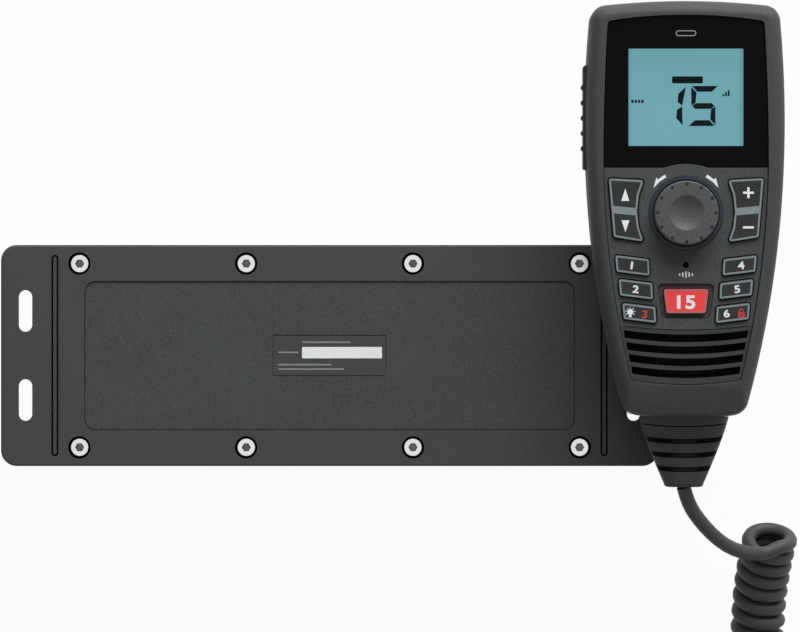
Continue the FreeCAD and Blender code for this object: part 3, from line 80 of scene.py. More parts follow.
# The handset hangs at HANDSET; its own places are in millimetres from there.
HANDSET = Vector((0.1114, -0.0181, 0.040))
FASCIA_Z = 29.2
LEDGE_Z = (27.3, 28.95)
BEZEL_FLOOR_Z = 28.45
KEY_TOP_Z = FASCIA_Z + 0.7
ROCKER_TOP_Z = FASCIA_Z + 0.8
LCD_FACE_Z = 25.4
WINDOW_HALF = 17.9
WINDOW_Y = (83.6, 113.9)
WINDOW_CUT_Z = (25, 32)
PANE_LOW_Z = 28.2
PANE_GAP = 0.02
FIGURE = {"y": 89.9, "width": 8.6, "height": 12.5, "gap": 0.25, "slant": 0.085}
KNOB_Y = 62.66
KNOB_TOP_Z = 35.15
KNOB_MARKS = 12
KNOB_MARK_RING = 9.03
KNOB_MARK_RADIUS = 0.62
MIC_Y = 46.5
# A dark cloth disc in the microphone's hole, as painted shade inside the hole.
MIC_SHADE_DISC_RADIUS = 0.93
MIC_SHADE_DISC_Z = (26.3, 26.5)
SOUND_MARK_Y = 43.5
SOUND_BAR_HEIGHTS = (0.8, 1.4, 2.0, 1.4, 0.8)
GRILLE_SEAM_Y = 26.25
GRILLE_SEAM_BOW = 1.2
GRILLE_SEAM_HALF = 19.6
GRILLE_SEAM_REACH = 19.45
SEAM_WIDTH = 0.32
BOOT_Y = -19.1
BOOT_AXIS_Z = 12.5
COLLAR_LINE = 1.7
COLLAR_LINE_HALF = 0.24
FIRST_GROOVE = 6.5
GROOVE_PITCH = 4.6
GROOVE_HALF = 0.82
GROOVES = 3
GROOVE_LEAN = math.radians(8)

BODY_OF = {
    node: body
    for body, nodes in frame["record"]["behaviour"]["bodies"].items()
    for node in nodes
}
SLOT_OF = {part["node"]: part["material_slot"] for part in frame["record"]["subparts"]}


# ---------------------------------------------------------------- settings


def colour_setting(name, description, default):
    return bpy.props.FloatVectorProperty(
        name=name, description=description, default=default, min=0, max=1, subtype="COLOR"
    )


def length_setting(name, description, default):
    return bpy.props.FloatProperty(
        name=name, description=description, default=default, min=0, unit="LENGTH"
    )


class MetalSettings(bpy.types.PropertyGroup):
    """Colours and edges of the transceiver's metal"""

    coat: colour_setting("Coat", "Powder coat of the plate and casting", (0.041, 0.045, 0.044))
    coat_grain: length_setting("Coat grain", "Size of the powder coat's grains", 0.38 * MM)
    plate_edge: length_setting("Plate edge", "Rounding of the plate's edges", 0.3 * MM)
    casting_edge: length_setting("Casting edge", "Rounding of the casting's edges", 0.45 * MM)
    steel: colour_setting("Steel", "Stainless screws", (0.78, 0.78, 0.77))
    nickel: colour_setting("Nickel", "Plated sockets", (0.62, 0.60, 0.56))


class HandsetSettings(bpy.types.PropertyGroup):
    """Colours and printed lines of the handset"""

    case: colour_setting("Case", "Moulded case of the handset", (0.047, 0.050, 0.049))
    panel: colour_setting("Panel", "Keypad panel", (0.052, 0.056, 0.055))
    knob: colour_setting("Knob", "Turning knob", (0.062, 0.066, 0.064))
    key: colour_setting("Key", "Key faces", (0.023, 0.023, 0.023))
    line: colour_setting("Key line", "Printed outline of the keys", (0.21, 0.248, 0.264))
    red: colour_setting("Red key", "Face of the centre key", (0.81, 0.062, 0.064))
    display: colour_setting("Display", "Lit face of the display", (0.148, 0.365, 0.41))
    ring: colour_setting("Knob ring", "Ring round the knob", (0.026, 0.030, 0.040))
    key_line: length_setting("Key line width", "Width of the keys' outline", 0.55 * MM)
    case_grain: length_setting("Case grain", "Size of the mould's grain", 0.3 * MM)


class CordSettings(bpy.types.PropertyGroup):
    """The curly cord's rubber and turns"""

    rubber: colour_setting("Cord", "Cord and boot rubber", (0.045, 0.046, 0.046))
    diameter: length_setting("Diameter", "Outer diameter of the cord", 4.5 * MM)
    coil_radius: length_setting("Coil radius", "Radius of the coil's centreline", 6.5 * MM)
    coil_pitch: length_setting("Coil pitch", "Advance of one turn", 5.35 * MM)
    first_pitch: length_setting("First pitch", "Advance of the turns next to the tail", 4.75 * MM)


class StageSettings(bpy.types.PropertyGroup):
    """The floor and the light"""

    floor: colour_setting("Floor", "Plain pale floor", (0.86, 0.86, 0.86))
    world_level: bpy.props.FloatProperty(
        name="World level", description="Strength of the even light", default=0.27, min=0
    )
    key_power: bpy.props.FloatProperty(
        name="Key power", description="Power of the large soft lamp, in watts", default=50.0, min=0
    )


# ---------------------------------------------------------------- modelling helpers


def select_only(*objects):
    """Selects these objects and no others, the first one active."""
    bpy.ops.object.select_all(action="DESELECT")
    for item in objects:
        item.select_set(True)
    bpy.context.view_layer.objects.active = objects[0]


def in_edit_mode(piece, work):
    """Does the work with the piece in edit mode."""
    select_only(piece)
    bpy.ops.object.mode_set(mode="EDIT")
    work()
    bpy.ops.object.mode_set(mode="OBJECT")


def select_faces(piece, wanted):
    """Selects the faces of an object in edit mode whose centre and normal pass the test."""
    shape = bmesh.from_edit_mesh(piece.data)
    bpy.ops.mesh.select_all(action="DESELECT")
    for face in shape.faces:
        face.select_set(wanted(face.calc_center_median(), face.normal))
    shape.select_flush_mode()
    bmesh.update_edit_mesh(piece.data)


def merged_copy(node, name):
    """A copy of a part's mesh with its loose triangles joined up, ready for the edit tools."""
    piece = bpy.data.objects.new(name, frame["nodes"][node].data.copy())
    bpy.context.scene.collection.objects.link(piece)
    piece.data.materials.clear()
    select_only(piece)
    bpy.ops.mesh.customdata_custom_splitnormals_clear()

    def join():
        bpy.ops.mesh.select_all(action="SELECT")
        bpy.ops.mesh.remove_doubles(threshold=MERGE_WITHIN)
        bpy.ops.mesh.dissolve_limited(angle_limit=FLAT_WITHIN)

    in_edit_mode(piece, join)
    return piece


def round_edges(piece, width):
    """Rounds the sharp edges of a piece."""
    select_only(piece)
    bpy.ops.object.modifier_add(type="BEVEL")
    bevel = piece.modifiers[-1]
    bevel.width = width
    bevel.segments = 2
    bevel.limit_method = "ANGLE"
    bevel.angle_limit = BEVEL_ANGLE
    bpy.ops.object.modifier_apply(modifier=bevel.name)


def smooth(piece):
    """Smooth shading that keeps flat faces flat and sharp edges sharp."""
    select_only(piece)
    bpy.ops.object.shade_smooth_by_angle(angle=SMOOTH_ANGLE)
    bpy.ops.object.modifier_add(type="WEIGHTED_NORMAL")
    weighted = piece.modifiers[-1]
    weighted.keep_sharp = True
    bpy.ops.object.modifier_apply(modifier=weighted.name)


def stand_for(piece, node):
    """The piece moves with a node's body and is shown in its place."""
    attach(piece, BODY_OF[node])
    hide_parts(node)


def dress(node, edge=0.0):
    """A detailed copy of a node: rounded edges, smooth shading and its slot's finish."""
    piece = merged_copy(node, node + "_finished")
    piece.data.materials.append(finish(SLOT_OF[node]))
    if edge:
        round_edges(piece, edge)
    smooth(piece)
    stand_for(piece, node)
    return piece


def paint_faces(piece, material, wanted):
    """The faces that pass the test get another finish."""
    piece.data.materials.append(finish(material))
    index = len(piece.data.materials) - 1

    def paint():
        select_faces(piece, wanted)
        piece.active_material_index = index
        bpy.ops.object.material_slot_assign()

    in_edit_mode(piece, paint)


def paint_nodes(*nodes):
    """Nodes whose own shape is shown get their slot's finish."""
    for node in nodes:
        mesh = frame["nodes"][node].data
        mesh.materials.clear()
        mesh.materials.append(finish(SLOT_OF[node]))


def on_handset(x, y, z=0.0):
    """A place given in the handset's own millimetres."""
    return HANDSET + Vector((x, y, z)) * MM


def flat_shape(name, loops, low, high):
    """A thin plate with that outline, in millimetres; the inner loops are holes."""
    curve = bpy.data.curves.new(name, "CURVE")
    curve.dimensions = "2D"
    curve.fill_mode = "BOTH"
    curve.extrude = (high - low) / 2 * MM
    for loop in loops:
        spline = curve.splines.new("POLY")
        spline.points.add(len(loop) - 1)
        for point, (x, y) in zip(spline.points, loop):
            point.co = (x * MM, y * MM, 0, 1)
        spline.use_cyclic_u = True
    piece = bpy.data.objects.new(name, curve)
    bpy.context.scene.collection.objects.link(piece)
    select_only(piece)
    bpy.ops.object.convert(target="MESH")
    piece = bpy.context.object
    piece.location.z = (low + high) / 2 * MM
    bpy.ops.object.transform_apply(location=True, rotation=False, scale=False)
    return piece


def thin_shape(name, loops, z):
    """A shape as thin as a print, standing on that height."""
    return flat_shape(name, loops, z, z + PRINT)


def place(piece, offset):
    """Moves a piece, with the move kept in its mesh."""
    select_only(piece)
    piece.location = offset
    bpy.ops.object.transform_apply(location=True, rotation=False, scale=False)


def lettering(name, words, x, y, height, z, turn, widen, weight):
    """Figures with a given height, centred on x, y; all in millimetres.

    The weight thickens the strokes, as a share of the text's own size."""
    bpy.ops.object.select_all(action="DESELECT")
    bpy.ops.object.text_add()
    text = bpy.context.object
    text.name = name
    text.data.body = words
    text.data.extrude = 0.02
    text.data.offset = weight
    text.data.space_character = 1.08
    bpy.ops.object.convert(target="MESH")
    piece = bpy.context.object
    corners = [Vector(corner) for corner in piece.bound_box]
    low, high = corners[0], corners[6]
    piece.data.transform(Matrix.Translation(-(low + high) / 2))
    scale = height * MM / (high.y - low.y)
    piece.scale = (scale * widen, scale, PRINT * MM / (high.z - low.z))
    bpy.ops.object.transform_apply(location=False, rotation=False, scale=True)
    piece.rotation_euler.z = turn
    piece.location = (x * MM, y * MM, (z + PRINT / 2) * MM)
    bpy.ops.object.transform_apply(location=True, rotation=True, scale=False)
    return piece


def join_pieces(name, pieces):
    """One piece made of several."""
    select_only(*pieces)
    if len(pieces) > 1:
        bpy.ops.object.join()
    joined = bpy.context.object
    joined.name = name
    return joined


def printed(piece, body, finish_name, offset=HANDSET):
    """A thin print: put at its place on the part, finished, and moved with a body."""
    place(piece, offset)
    piece.data.materials.clear()
    piece.data.materials.append(finish(finish_name))
    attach(piece, body)
    return piece


def rounded_loop(x0, x1, y0, y1, radius, steps=6):
    """The outline of a rectangle with rounded corners."""
    points = []
    corners = [(x1, y1, 0), (x0, y1, 90), (x0, y0, 180), (x1, y0, 270)]
    for x, y, start in corners:
        cx = x - radius if x == x1 else x + radius
        cy = y - radius if y == y1 else y + radius
        for i in range(steps + 1):
            turn = math.radians(start + 90 * i / steps)
            points.append((cx + radius * math.cos(turn), cy + radius * math.sin(turn)))
    return points


def bar_loop(x, y, half_width, half_height, radius, steps=6):
    """A rounded rectangle given by its middle."""
    return rounded_loop(
        x - half_width, x + half_width, y - half_height, y + half_height, radius, steps
    )


def disc_loop(x, y, radius, steps=32):
    """The outline of a disc."""
    turns = [2 * math.pi * i / steps for i in range(steps)]
    return [(x + radius * math.cos(t), y + radius * math.sin(t)) for t in turns]


def mirrored(points):
    """A loop mirrored across the handset's middle plane."""
    return [(-x, y) for x, y in reversed(points)]


# ---------------------------------------------------------------- finishes


class Recipe:
    """Node building for one material: a principled shader with patterns in object space."""

    def __init__(self, name, roughness, specular, metallic=0.0):
        self.material = bpy.data.materials.new(name)
        self.material.use_nodes = True
        self.tree = self.material.node_tree
        self.shader = self.tree.nodes["Principled BSDF"]
        self.shader.inputs["Roughness"].default_value = roughness
        self.shader.inputs["Specular IOR Level"].default_value = specular
        self.shader.inputs["Metallic"].default_value = metallic
        self.place = self.node("TexCoord").outputs["Object"]

    def node(self, kind, **settings):
        made = self.tree.nodes.new("ShaderNode" + kind)
        for key, value in settings.items():
            setattr(made, key, value)
        return made

    def link(self, source, target):
        self.tree.links.new(source, target)

    def stretched(self, scale):
        """The place with its axes scaled, so that a pattern on it runs one way."""
        mapping = self.node("Mapping")
        mapping.inputs["Scale"].default_value = scale
        self.link(self.place, mapping.inputs["Vector"])
        return mapping.outputs["Vector"]

    def noise(self, size, detail, place=None):
        """A noise whose blotches are about size metres across."""
        made = self.node("TexNoise")
        made.inputs["Scale"].default_value = 1 / size
        made.inputs["Detail"].default_value = detail
        self.link(place or self.place, made.inputs["Vector"])
        return made.outputs["Fac"]

    def bands(self, size, direction):
        """Straight waves across X or Y."""
        made = self.node("TexWave", wave_type="BANDS", bands_direction=direction)
        made.inputs["Scale"].default_value = 1 / size
        self.link(self.place, made.inputs["Vector"])
        return made.outputs["Fac"]

    def ranged(self, source, low, high, to_low, to_high):
        """The source's range from low to high, mapped and clamped to another."""
        made = self.node("MapRange")
        made.inputs["From Min"].default_value = low
        made.inputs["From Max"].default_value = high
        made.inputs["To Min"].default_value = to_low
        made.inputs["To Max"].default_value = to_high
        self.link(source, made.inputs["Value"])
        return made.outputs["Result"]

    def maths(self, operation, first, second=0.0):
        """Arithmetic on two values, each a number or another node's output."""
        made = self.node("Math", operation=operation)
        for socket, value in zip(made.inputs, (first, second)):
            if isinstance(value, (int, float)):
                socket.default_value = value
            else:
                self.link(value, socket)
        return made.outputs["Value"]

    def mixed(self, factor, first, second):
        """A colour between two, each a colour or another node's output."""
        made = self.node("Mix", data_type="RGBA")
        self.link(factor, made.inputs[0])
        for socket, value in ((made.inputs[6], first), (made.inputs[7], second)):
            if isinstance(value, bpy.types.NodeSocket):
                self.link(value, socket)
            else:
                socket.default_value = (*value[:3], 1)
        return made.outputs[2]

    def bump(self, height, depth, strength=1.0):
        """Relief from a pattern, with its depth in metres."""
        made = self.node("Bump")
        made.inputs["Strength"].default_value = strength
        made.inputs["Distance"].default_value = depth
        self.link(height, made.inputs["Height"])
        self.link(made.outputs["Normal"], self.shader.inputs["Normal"])

    def paint(self, colour):
        self.link(colour, self.shader.inputs["Base Color"])

    def vary_roughness(self, source, low, high):
        self.link(self.ranged(source, 0.3, 0.7, low, high), self.shader.inputs["Roughness"])


def shade(colour, factor):
    """A lighter or darker tone of a colour."""
    return [min(1.0, channel * factor) for channel in colour[:3]]


def grained(name, colour, roughness, grain, depth, specular, speckle=0.7):
    """A moulded or coated surface: fine grain in the relief and the colour, faint broad patches."""
    recipe = Recipe(name, roughness, specular)
    patches = recipe.noise(30 * MM, 3)
    grains = recipe.noise(grain, 2)
    patch_share = recipe.ranged(patches, 0.3, 0.7, 0, 1)
    base = recipe.mixed(patch_share, shade(colour, 0.93), shade(colour, 1.06))
    light = shade(colour, 1 + speckle)
    recipe.paint(recipe.mixed(recipe.ranged(grains, 0.46, 0.66, 0, 0.9), base, light))
    recipe.vary_roughness(grains, roughness - 0.05, roughness + 0.08)
    recipe.bump(grains, depth, 0.7)
    return recipe


def brushed(name, colour, roughness, stretch):
    """Turned or plated metal with fine tool marks."""
    recipe = Recipe(name, roughness, 0.5, 1.0)
    marks = recipe.noise(1.2 * MM, 3, recipe.stretched(stretch))
    recipe.paint(recipe.mixed(marks, shade(colour, 0.86), shade(colour, 1.08)))
    recipe.vary_roughness(marks, roughness - 0.06, roughness + 0.1)
    recipe.bump(marks, 0.01 * MM, 0.4)
    return recipe


def woven(name, colour):
    """Acoustic cloth: threads both ways, dark between them."""
    recipe = Recipe(name, 0.9, 0.02)
    thread_pitch = 1.2 * MM
    warp = recipe.bands(thread_pitch, "X")
    weft = recipe.bands(thread_pitch, "Y")
    threads = recipe.maths("MAXIMUM", warp, weft)
    recipe.paint(recipe.mixed(threads, shade(colour, 0.4), shade(colour, 1.5)))
    recipe.bump(threads, 0.12 * MM)
    return recipe


def board_mask(name):
    """Solder mask with copper tracks under it and bare pads."""
    recipe = Recipe(name, 0.35, 0.5)
    cells = recipe.node("TexVoronoi", distance="MANHATTAN", feature="F1")
    cells_per_metre = 260
    cells.inputs["Scale"].default_value = cells_per_metre
    recipe.link(recipe.place, cells.inputs["Vector"])
    distance = cells.outputs["Distance"]
    tracks = recipe.maths("PINGPONG", distance, 0.09)
    track_share = recipe.ranged(tracks, 0.03, 0.045, 0, 1)
    mask = recipe.mixed(track_share, (0.012, 0.09, 0.035), (0.02, 0.16, 0.06))
    pads = recipe.ranged(distance, 0.07, 0.09, 1, 0)
    recipe.paint(recipe.mixed(pads, mask, (0.62, 0.55, 0.36)))
    recipe.bump(tracks, 0.03 * MM, 0.5)
    return recipe


def across_handset(recipe):
    """The distance from the handset's middle plane, and the places along Y and Z."""
    split = recipe.node("SeparateXYZ")
    recipe.link(recipe.place, split.inputs["Vector"])
    centred = recipe.maths("SUBTRACT", split.outputs["X"], HANDSET.x)
    return recipe.maths("ABSOLUTE", centred), split.outputs["Y"], split.outputs["Z"]


def painted_groove_shade(name):
    """Painted shade for the boot's grooves: black round the small webs that bridge their middles,
    and a softer dark on the webs.
    """
    recipe = Recipe(name, 0.7, 0.03)
    from_middle, along, height = across_handset(recipe)
    rise = recipe.maths("SUBTRACT", height, on_handset(0, 0, BOOT_AXIS_Z).z)
    lean = recipe.maths("MULTIPLY", rise, math.tan(GROOVE_LEAN))
    back = recipe.maths("SUBTRACT", (BOOT_Y - FIRST_GROOVE) * MM, along)
    run = recipe.maths("SUBTRACT", back, lean)
    from_groove = recipe.maths("PINGPONG", run, GROOVE_PITCH / 2 * MM)
    beside_web = recipe.ranged(from_middle, 2.0 * MM, 4.6 * MM, 0, 1)
    at_edge = recipe.ranged(from_groove, 0.2 * MM, 0.65 * MM, 0, 1)
    grains = recipe.noise(0.35 * MM, 2)
    web = recipe.mixed(grains, (0.016, 0.016, 0.016), (0.024, 0.024, 0.024))
    black_share = recipe.maths("MAXIMUM", beside_web, at_edge)
    recipe.paint(recipe.mixed(black_share, web, (0.003, 0.003, 0.003)))
    recipe.bump(grains, 0.02 * MM, 0.5)
    return recipe


def panel_plastic(name, colour, grain):
    """The keypad panel's plastic, darker over the speaker's slots below its curved seam."""
    recipe = grained(name, colour, 0.55, grain, 0.02 * MM, 0.12)
    from_middle, along, _ = across_handset(recipe)
    square = recipe.maths("MULTIPLY", from_middle, from_middle)
    bow = recipe.maths("MULTIPLY", square, GRILLE_SEAM_BOW / (GRILLE_SEAM_HALF ** 2 * MM))
    from_seam = recipe.maths("SUBTRACT", along, bow)
    seam = on_handset(0, GRILLE_SEAM_Y).y
    share = recipe.ranged(from_seam, seam - 0.1 * MM, seam + 0.1 * MM, 0.7, 1)
    plain = recipe.shader.inputs["Base Color"].links[0].from_socket
    toned = recipe.node("Mix", data_type="RGBA", blend_type="MULTIPLY")
    toned.inputs[0].default_value = 1
    recipe.link(plain, toned.inputs[6])
    recipe.link(share, toned.inputs[7])
    recipe.paint(toned.outputs[2])
    return recipe


def lit_display(name, colour):
    """A backlit liquid crystal face, a little darker along its left and right edges."""
    recipe = Recipe(name, 0.5, 0.05)
    from_middle, _, _ = across_handset(recipe)
    edge = recipe.ranged(from_middle, 16.6 * MM, 17.4 * MM, 0, 0.5)
    cloud = recipe.noise(12 * MM, 1)
    lit = recipe.mixed(cloud, shade(colour, 0.97), shade(colour, 1.04))
    dot_pitch = 1.5 * MM
    cells = recipe.maths("MULTIPLY", recipe.bands(dot_pitch, "X"), recipe.bands(dot_pitch, "Y"))
    fine = recipe.mixed(recipe.ranged(cells, 0, 1, 0, 0.06), lit, shade(colour, 0.6))
    toned = recipe.mixed(edge, fine, shade(colour, 0.72))
    recipe.paint(recipe.mixed(cloud, shade(colour, 0.1), shade(colour, 0.12)))
    recipe.link(toned, recipe.shader.inputs["Emission Color"])
    recipe.shader.inputs["Emission Strength"].default_value = 1.0
    return recipe


def gloss(name, colour, roughness, specular):
    """Polished dark plastic with the faintest waviness and smears."""
    recipe = Recipe(name, roughness, specular)
    smears = recipe.noise(20 * MM, 4)
    recipe.paint(recipe.mixed(smears, shade(colour, 0.8), shade(colour, 1.25)))
    recipe.vary_roughness(smears, roughness * 0.7, roughness * 1.6)
    recipe.bump(smears, 0.004 * MM, 0.3)
    return recipe


def clear_pane(name):
    """A thin clear window: nearly no colour, with a soft reflection."""
    recipe = Recipe(name, 0.08, 0.08)
    smears = recipe.noise(15 * MM, 4)
    recipe.paint(recipe.mixed(smears, (0.04, 0.045, 0.05), (0.07, 0.075, 0.08)))
    recipe.vary_roughness(smears, 0.05, 0.16)
    recipe.shader.inputs["Alpha"].default_value = 0.03
    return recipe


def ink(name, colour, roughness=0.5, specular=0.15):
    """Printed or inlaid lettering, with a faint uneven lay."""
    recipe = Recipe(name, roughness, specular)
    lay = recipe.noise(0.6 * MM, 2)
    recipe.paint(recipe.mixed(lay, shade(colour, 0.9), shade(colour, 1.07)))
    recipe.vary_roughness(lay, roughness - 0.05, roughness + 0.1)
    recipe.bump(lay, 0.01 * MM, 0.3)
    return recipe


# Each finish's recipe with its colour, roughness and so on, in the order of the recipe's
# arguments. A value in words is one of the settings.
FINISHES = {
    "coated_metal": (grained, "radio_metal.coat", 0.62, "radio_metal.coat_grain", 0.06 * MM, 0.22),
    "steel": (brushed, "radio_metal.steel", 0.26, (1, 1, 8)),
    # Darker steel in the screws' hex recesses: painted shade.
    "screw_key_shade": (brushed, (0.19, 0.19, 0.185), 0.5, (1, 1, 8)),
    "nickel": (brushed, "radio_metal.nickel", 0.3, (12, 1, 1)),
    "tinned_steel": (brushed, (0.52, 0.53, 0.54), 0.35, (1, 9, 1)),
    "gold_brass": (brushed, (0.83, 0.61, 0.25), 0.25, (9, 1, 1)),
    "circuit_board": (board_mask,),
    "gasket_rubber": (grained, (0.012, 0.012, 0.012), 0.75, 0.5 * MM, 0.04 * MM, 0.2),
    "black_plastic": (grained, (0.02, 0.02, 0.021), 0.5, 0.35 * MM, 0.02 * MM, 0.3),
    "milky_plastic": (grained, (0.72, 0.73, 0.72), 0.4, 0.4 * MM, 0.01 * MM, 0.4, 0.1),
    "white_plastic": (grained, (0.76, 0.76, 0.74), 0.45, 0.4 * MM, 0.01 * MM, 0.4, 0.1),
    "label_film": (grained, (0.056, 0.055, 0.052), 0.4, 0.6 * MM, 0.004 * MM, 0.15, 0.1),
    "handset_plastic": (
        grained, "radio_handset.case", 0.58, "radio_handset.case_grain", 0.03 * MM, 0.12
    ),
    "knob_plastic": (
        grained, "radio_handset.knob", 0.45, "radio_handset.case_grain", 0.015 * MM, 0.2
    ),
    "panel_plastic": (panel_plastic, "radio_handset.panel", "radio_handset.case_grain"),
    "bezel_shade": (grained, (0.043, 0.046, 0.045), 0.6, 0.3 * MM, 0.02 * MM, 0.1),
    "deep_shadow": (grained, (0.0055, 0.0055, 0.0055), 0.9, 0.4 * MM, 0.02 * MM, 0.02),
    "key_rubber": (grained, "radio_handset.key", 0.6, 0.25 * MM, 0.012 * MM, 0.18, 0.25),
    "red_rubber": (grained, "radio_handset.red", 0.5, 0.25 * MM, 0.012 * MM, 0.18, 0.06),
    "boot_rubber": (grained, "radio_cord.rubber", 0.62, 0.35 * MM, 0.03 * MM, 0.22, 0.3),
    "cord_rubber": (grained, "radio_cord.rubber", 0.5, 0.3 * MM, 0.015 * MM, 0.28, 0.25),
    # Painted shade in the boot's grooves.
    "painted_groove_shade": (painted_groove_shade,),
    "cloth": (woven, (0.02, 0.02, 0.02)),
    "lens_plastic": (gloss, (0.0022, 0.0022, 0.0023), 0.1, 0.045),
    "navy_plastic": (gloss, "radio_handset.ring", 0.22, 0.2),
    "window_pane": (clear_pane,),
    "display_glass": (lit_display, "radio_handset.display"),
    "display_ink": (ink, (0.004, 0.009, 0.011), 0.7, 0.03),
    "key_line": (ink, "radio_handset.line"),
    "centre_key_line": (ink, (0.30, 0.17, 0.19)),
    "white_print": (ink, (0.80, 0.82, 0.83)),
    "red_print": (ink, (0.48, 0.055, 0.055)),
    "grey_print": (ink, (0.26, 0.27, 0.28)),
    "seam_shadow": (ink, (0.008, 0.008, 0.008), 0.8),
}
MADE_FINISHES = {}


def setting(value):
    """A setting's value where its name is given, and otherwise the value itself."""
    return bpy.context.scene.path_resolve(value) if isinstance(value, str) else value


def finish(name):
    """The named finish, made the first time that it is asked for."""
    if name not in MADE_FINISHES:
        recipe, *values = FINISHES[name]
        made = recipe(name + "_finish", *[setting(value) for value in values])
        MADE_FINISHES[name] = made.material
    return MADE_FINISHES[name]


# ---------------------------------------------------------------- transceiver


def from_screw(at):
    """The distance from the nearest lid screw's axis."""
    return min(math.hypot(at.x - x * MM, at.y - y * MM) for x, y in SCREW_PLACES)


def is_dark_on_plate(at, normal):
    """Painted shade: the walls of the screws' counterbores and the floors of the two beads."""
    depth = PLATE_TOP_Z * MM - at.z
    if depth < PLATE_FACE_DEPTH * MM:
        return False
    half_width, half_length = BEAD_HALF
    if abs(abs(at.x) - BEAD_X * MM) < half_width * MM and abs(at.y) < half_length * MM:
        return depth < BEAD_DEPTH * MM
    return from_screw(at) < COUNTERBORE_RADIUS * MM


class RADIO_OT_plate(bpy.types.Operator):
    """Mounting plate and hanger: coated metal with beads, slots and a shallow raised field"""

    bl_idname = "radio.plate"
    bl_label = "Mounting plate"

    def execute(self, context):
        edge = context.scene.radio_metal.plate_edge
        plate = dress("mounting_plate", edge)
        dress("hanger_plate", edge)
        # The counterbore walls and the bead floors get painted shade.
        paint_faces(plate, "deep_shadow", is_dark_on_plate)
        # A painted shadow line along the step of the raised field.
        step = [bar_loop(0, 0, 77.6, 23.6, 3.4), bar_loop(0, 0, 77.35, 23.35, 3.2)]
        line = thin_shape("plate_step_shadow_line", step, PLATE_TOP_Z - PRINT)
        printed(line, "transceiver", "seam_shadow", Vector())
        return {"FINISHED"}


class RADIO_OT_casting(bpy.types.Operator):
    """Cast box with its cooling fins, and the gasket under the plate"""

    bl_idname = "radio.casting"
    bl_label = "Casting"

    def execute(self, context):
        dress("body_casting", context.scene.radio_metal.casting_edge)
        paint_nodes("lid_gasket")
        return {"FINISHED"}


def is_in_screw_key(at, normal):
    """The hexagonal recesses in the lid screws' heads, which get darker steel as painted shade."""
    low, high = SCREW_KEY_Z
    return low * MM < at.z < high * MM and from_screw(at) < SCREW_KEY_RADIUS * MM


class RADIO_OT_screws(bpy.types.Operator):
    """Stainless screws of the plate, the hanger, the handset's case and its stud"""

    bl_idname = "radio.screws"
    bl_label = "Screws"

    def execute(self, context):
        lid_screws = dress("lid_screws", 0.35 * MM)
        # The hex recesses get darker steel as painted shade.
        paint_faces(lid_screws, "screw_key_shade", is_in_screw_key)
        dress("hanger_screws", 0.15 * MM)
        dress("case_screws", 0.15 * MM)
        dress("hang_stud", 0.3 * MM)
        paint_nodes("stud_screw", "board_screws")
        return {"FINISHED"}


class RADIO_OT_sockets(bpy.types.Operator):
    """Antenna socket, handset socket and the two cable glands on the right end"""

    bl_idname = "radio.sockets"
    bl_label = "Sockets and glands"

    def execute(self, context):
        for node in ("antenna_socket", "handset_socket"):
            dress(node, 0.15 * MM)
        for node in ("power_gland", "speaker_gland"):
            dress(node, 0.3 * MM)
        paint_nodes("antenna_insulator", "antenna_contact", "socket_insert")
        return {"FINISHED"}


class RADIO_OT_label(bpy.types.Operator):
    """Rating label: dark film with a bare white strip and a few plain rules"""

    bl_idname = "radio.label"
    bl_label = "Rating label"

    def execute(self, context):
        dress("rating_label")
        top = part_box("rating_label")[1].z / MM
        shapes = []
        for start, end, y in LABEL_RULES:
            rule = rounded_loop(start, end, y - RULE_HALF, y + RULE_HALF, 0.1)
            shapes.append(thin_shape("label_rule", [rule], top))
        lines = join_pieces("label_rules", shapes)
        printed(lines, "transceiver", "grey_print", Vector())
        strip = thin_shape("label_strip", [rounded_loop(-8.7, 16.6, -0.9, 2.7, 0.25)], top)
        printed(strip, "transceiver", "white_print", Vector())
        return {"FINISHED"}


class RADIO_OT_transceiver_inside(bpy.types.Operator):
    """Circuit board, power module, shield can and capacitors inside the casting"""

    bl_idname = "radio.transceiver_inside"
    bl_label = "Transceiver's inside"

    def execute(self, context):
        paint_nodes("main_board", "power_module", "shield_can", "capacitors")
        return {"FINISHED"}


# ---------------------------------------------------------------- handset


def is_round_panel(at, normal):
    """The ledge under the keypad panel and the low walls round it, which get painted shade."""
    low, high = LEDGE_Z
    height = (at.z - HANDSET.z) / MM
    return low < height < high and (normal.z > 0.9 or abs(normal.z) < 0.2)


class RADIO_OT_case(bpy.types.Operator):
    """Front and rear shells of the handset with the seal between them"""

    bl_idname = "radio.case"
    bl_label = "Handset case"

    def execute(self, context):
        front = dress("front_shell", 0.22 * MM)
        # Painted shade on the ledge and the walls round the panel, seen through the grille's slots
        # and the gap.
        paint_faces(front, "deep_shadow", is_round_panel)
        dress("rear_shell", 0.22 * MM)
        paint_nodes("case_seal")
        return {"FINISHED"}


def is_bezel_floor(at, normal):
    """The sunk floor that frames the centre key, which gets painted shade."""
    return normal.z > 0.9 and abs(at.z - on_handset(0, 0, BEZEL_FLOOR_Z).z) < 0.05 * MM


def turning_arrows():
    """The bent arrows on both sides of the knob's top."""
    head = [(-8.83, 10.41), (-9.23, 11.12), (-10.14, 7.81)]
    shaft = [(-8.28, 9.74), (-6.11, 11.2), (-6.63, 11.99)]
    arrow = [(x, y + KNOB_Y) for x, y in head + shaft]
    return [
        thin_shape("left_arrow", [arrow], FASCIA_Z),
        thin_shape("right_arrow", [mirrored(arrow)], FASCIA_Z),
    ]


def sound_bars():
    """Upright bars 1 mm apart under the microphone's hole, the middle one longest."""
    bars = [
        bar_loop(x, SOUND_MARK_Y, 0.24, height / 2, 0.2)
        for x, height in enumerate(SOUND_BAR_HEIGHTS, -2)
    ]
    return [thin_shape("sound_bar", [bar], FASCIA_Z) for bar in bars]


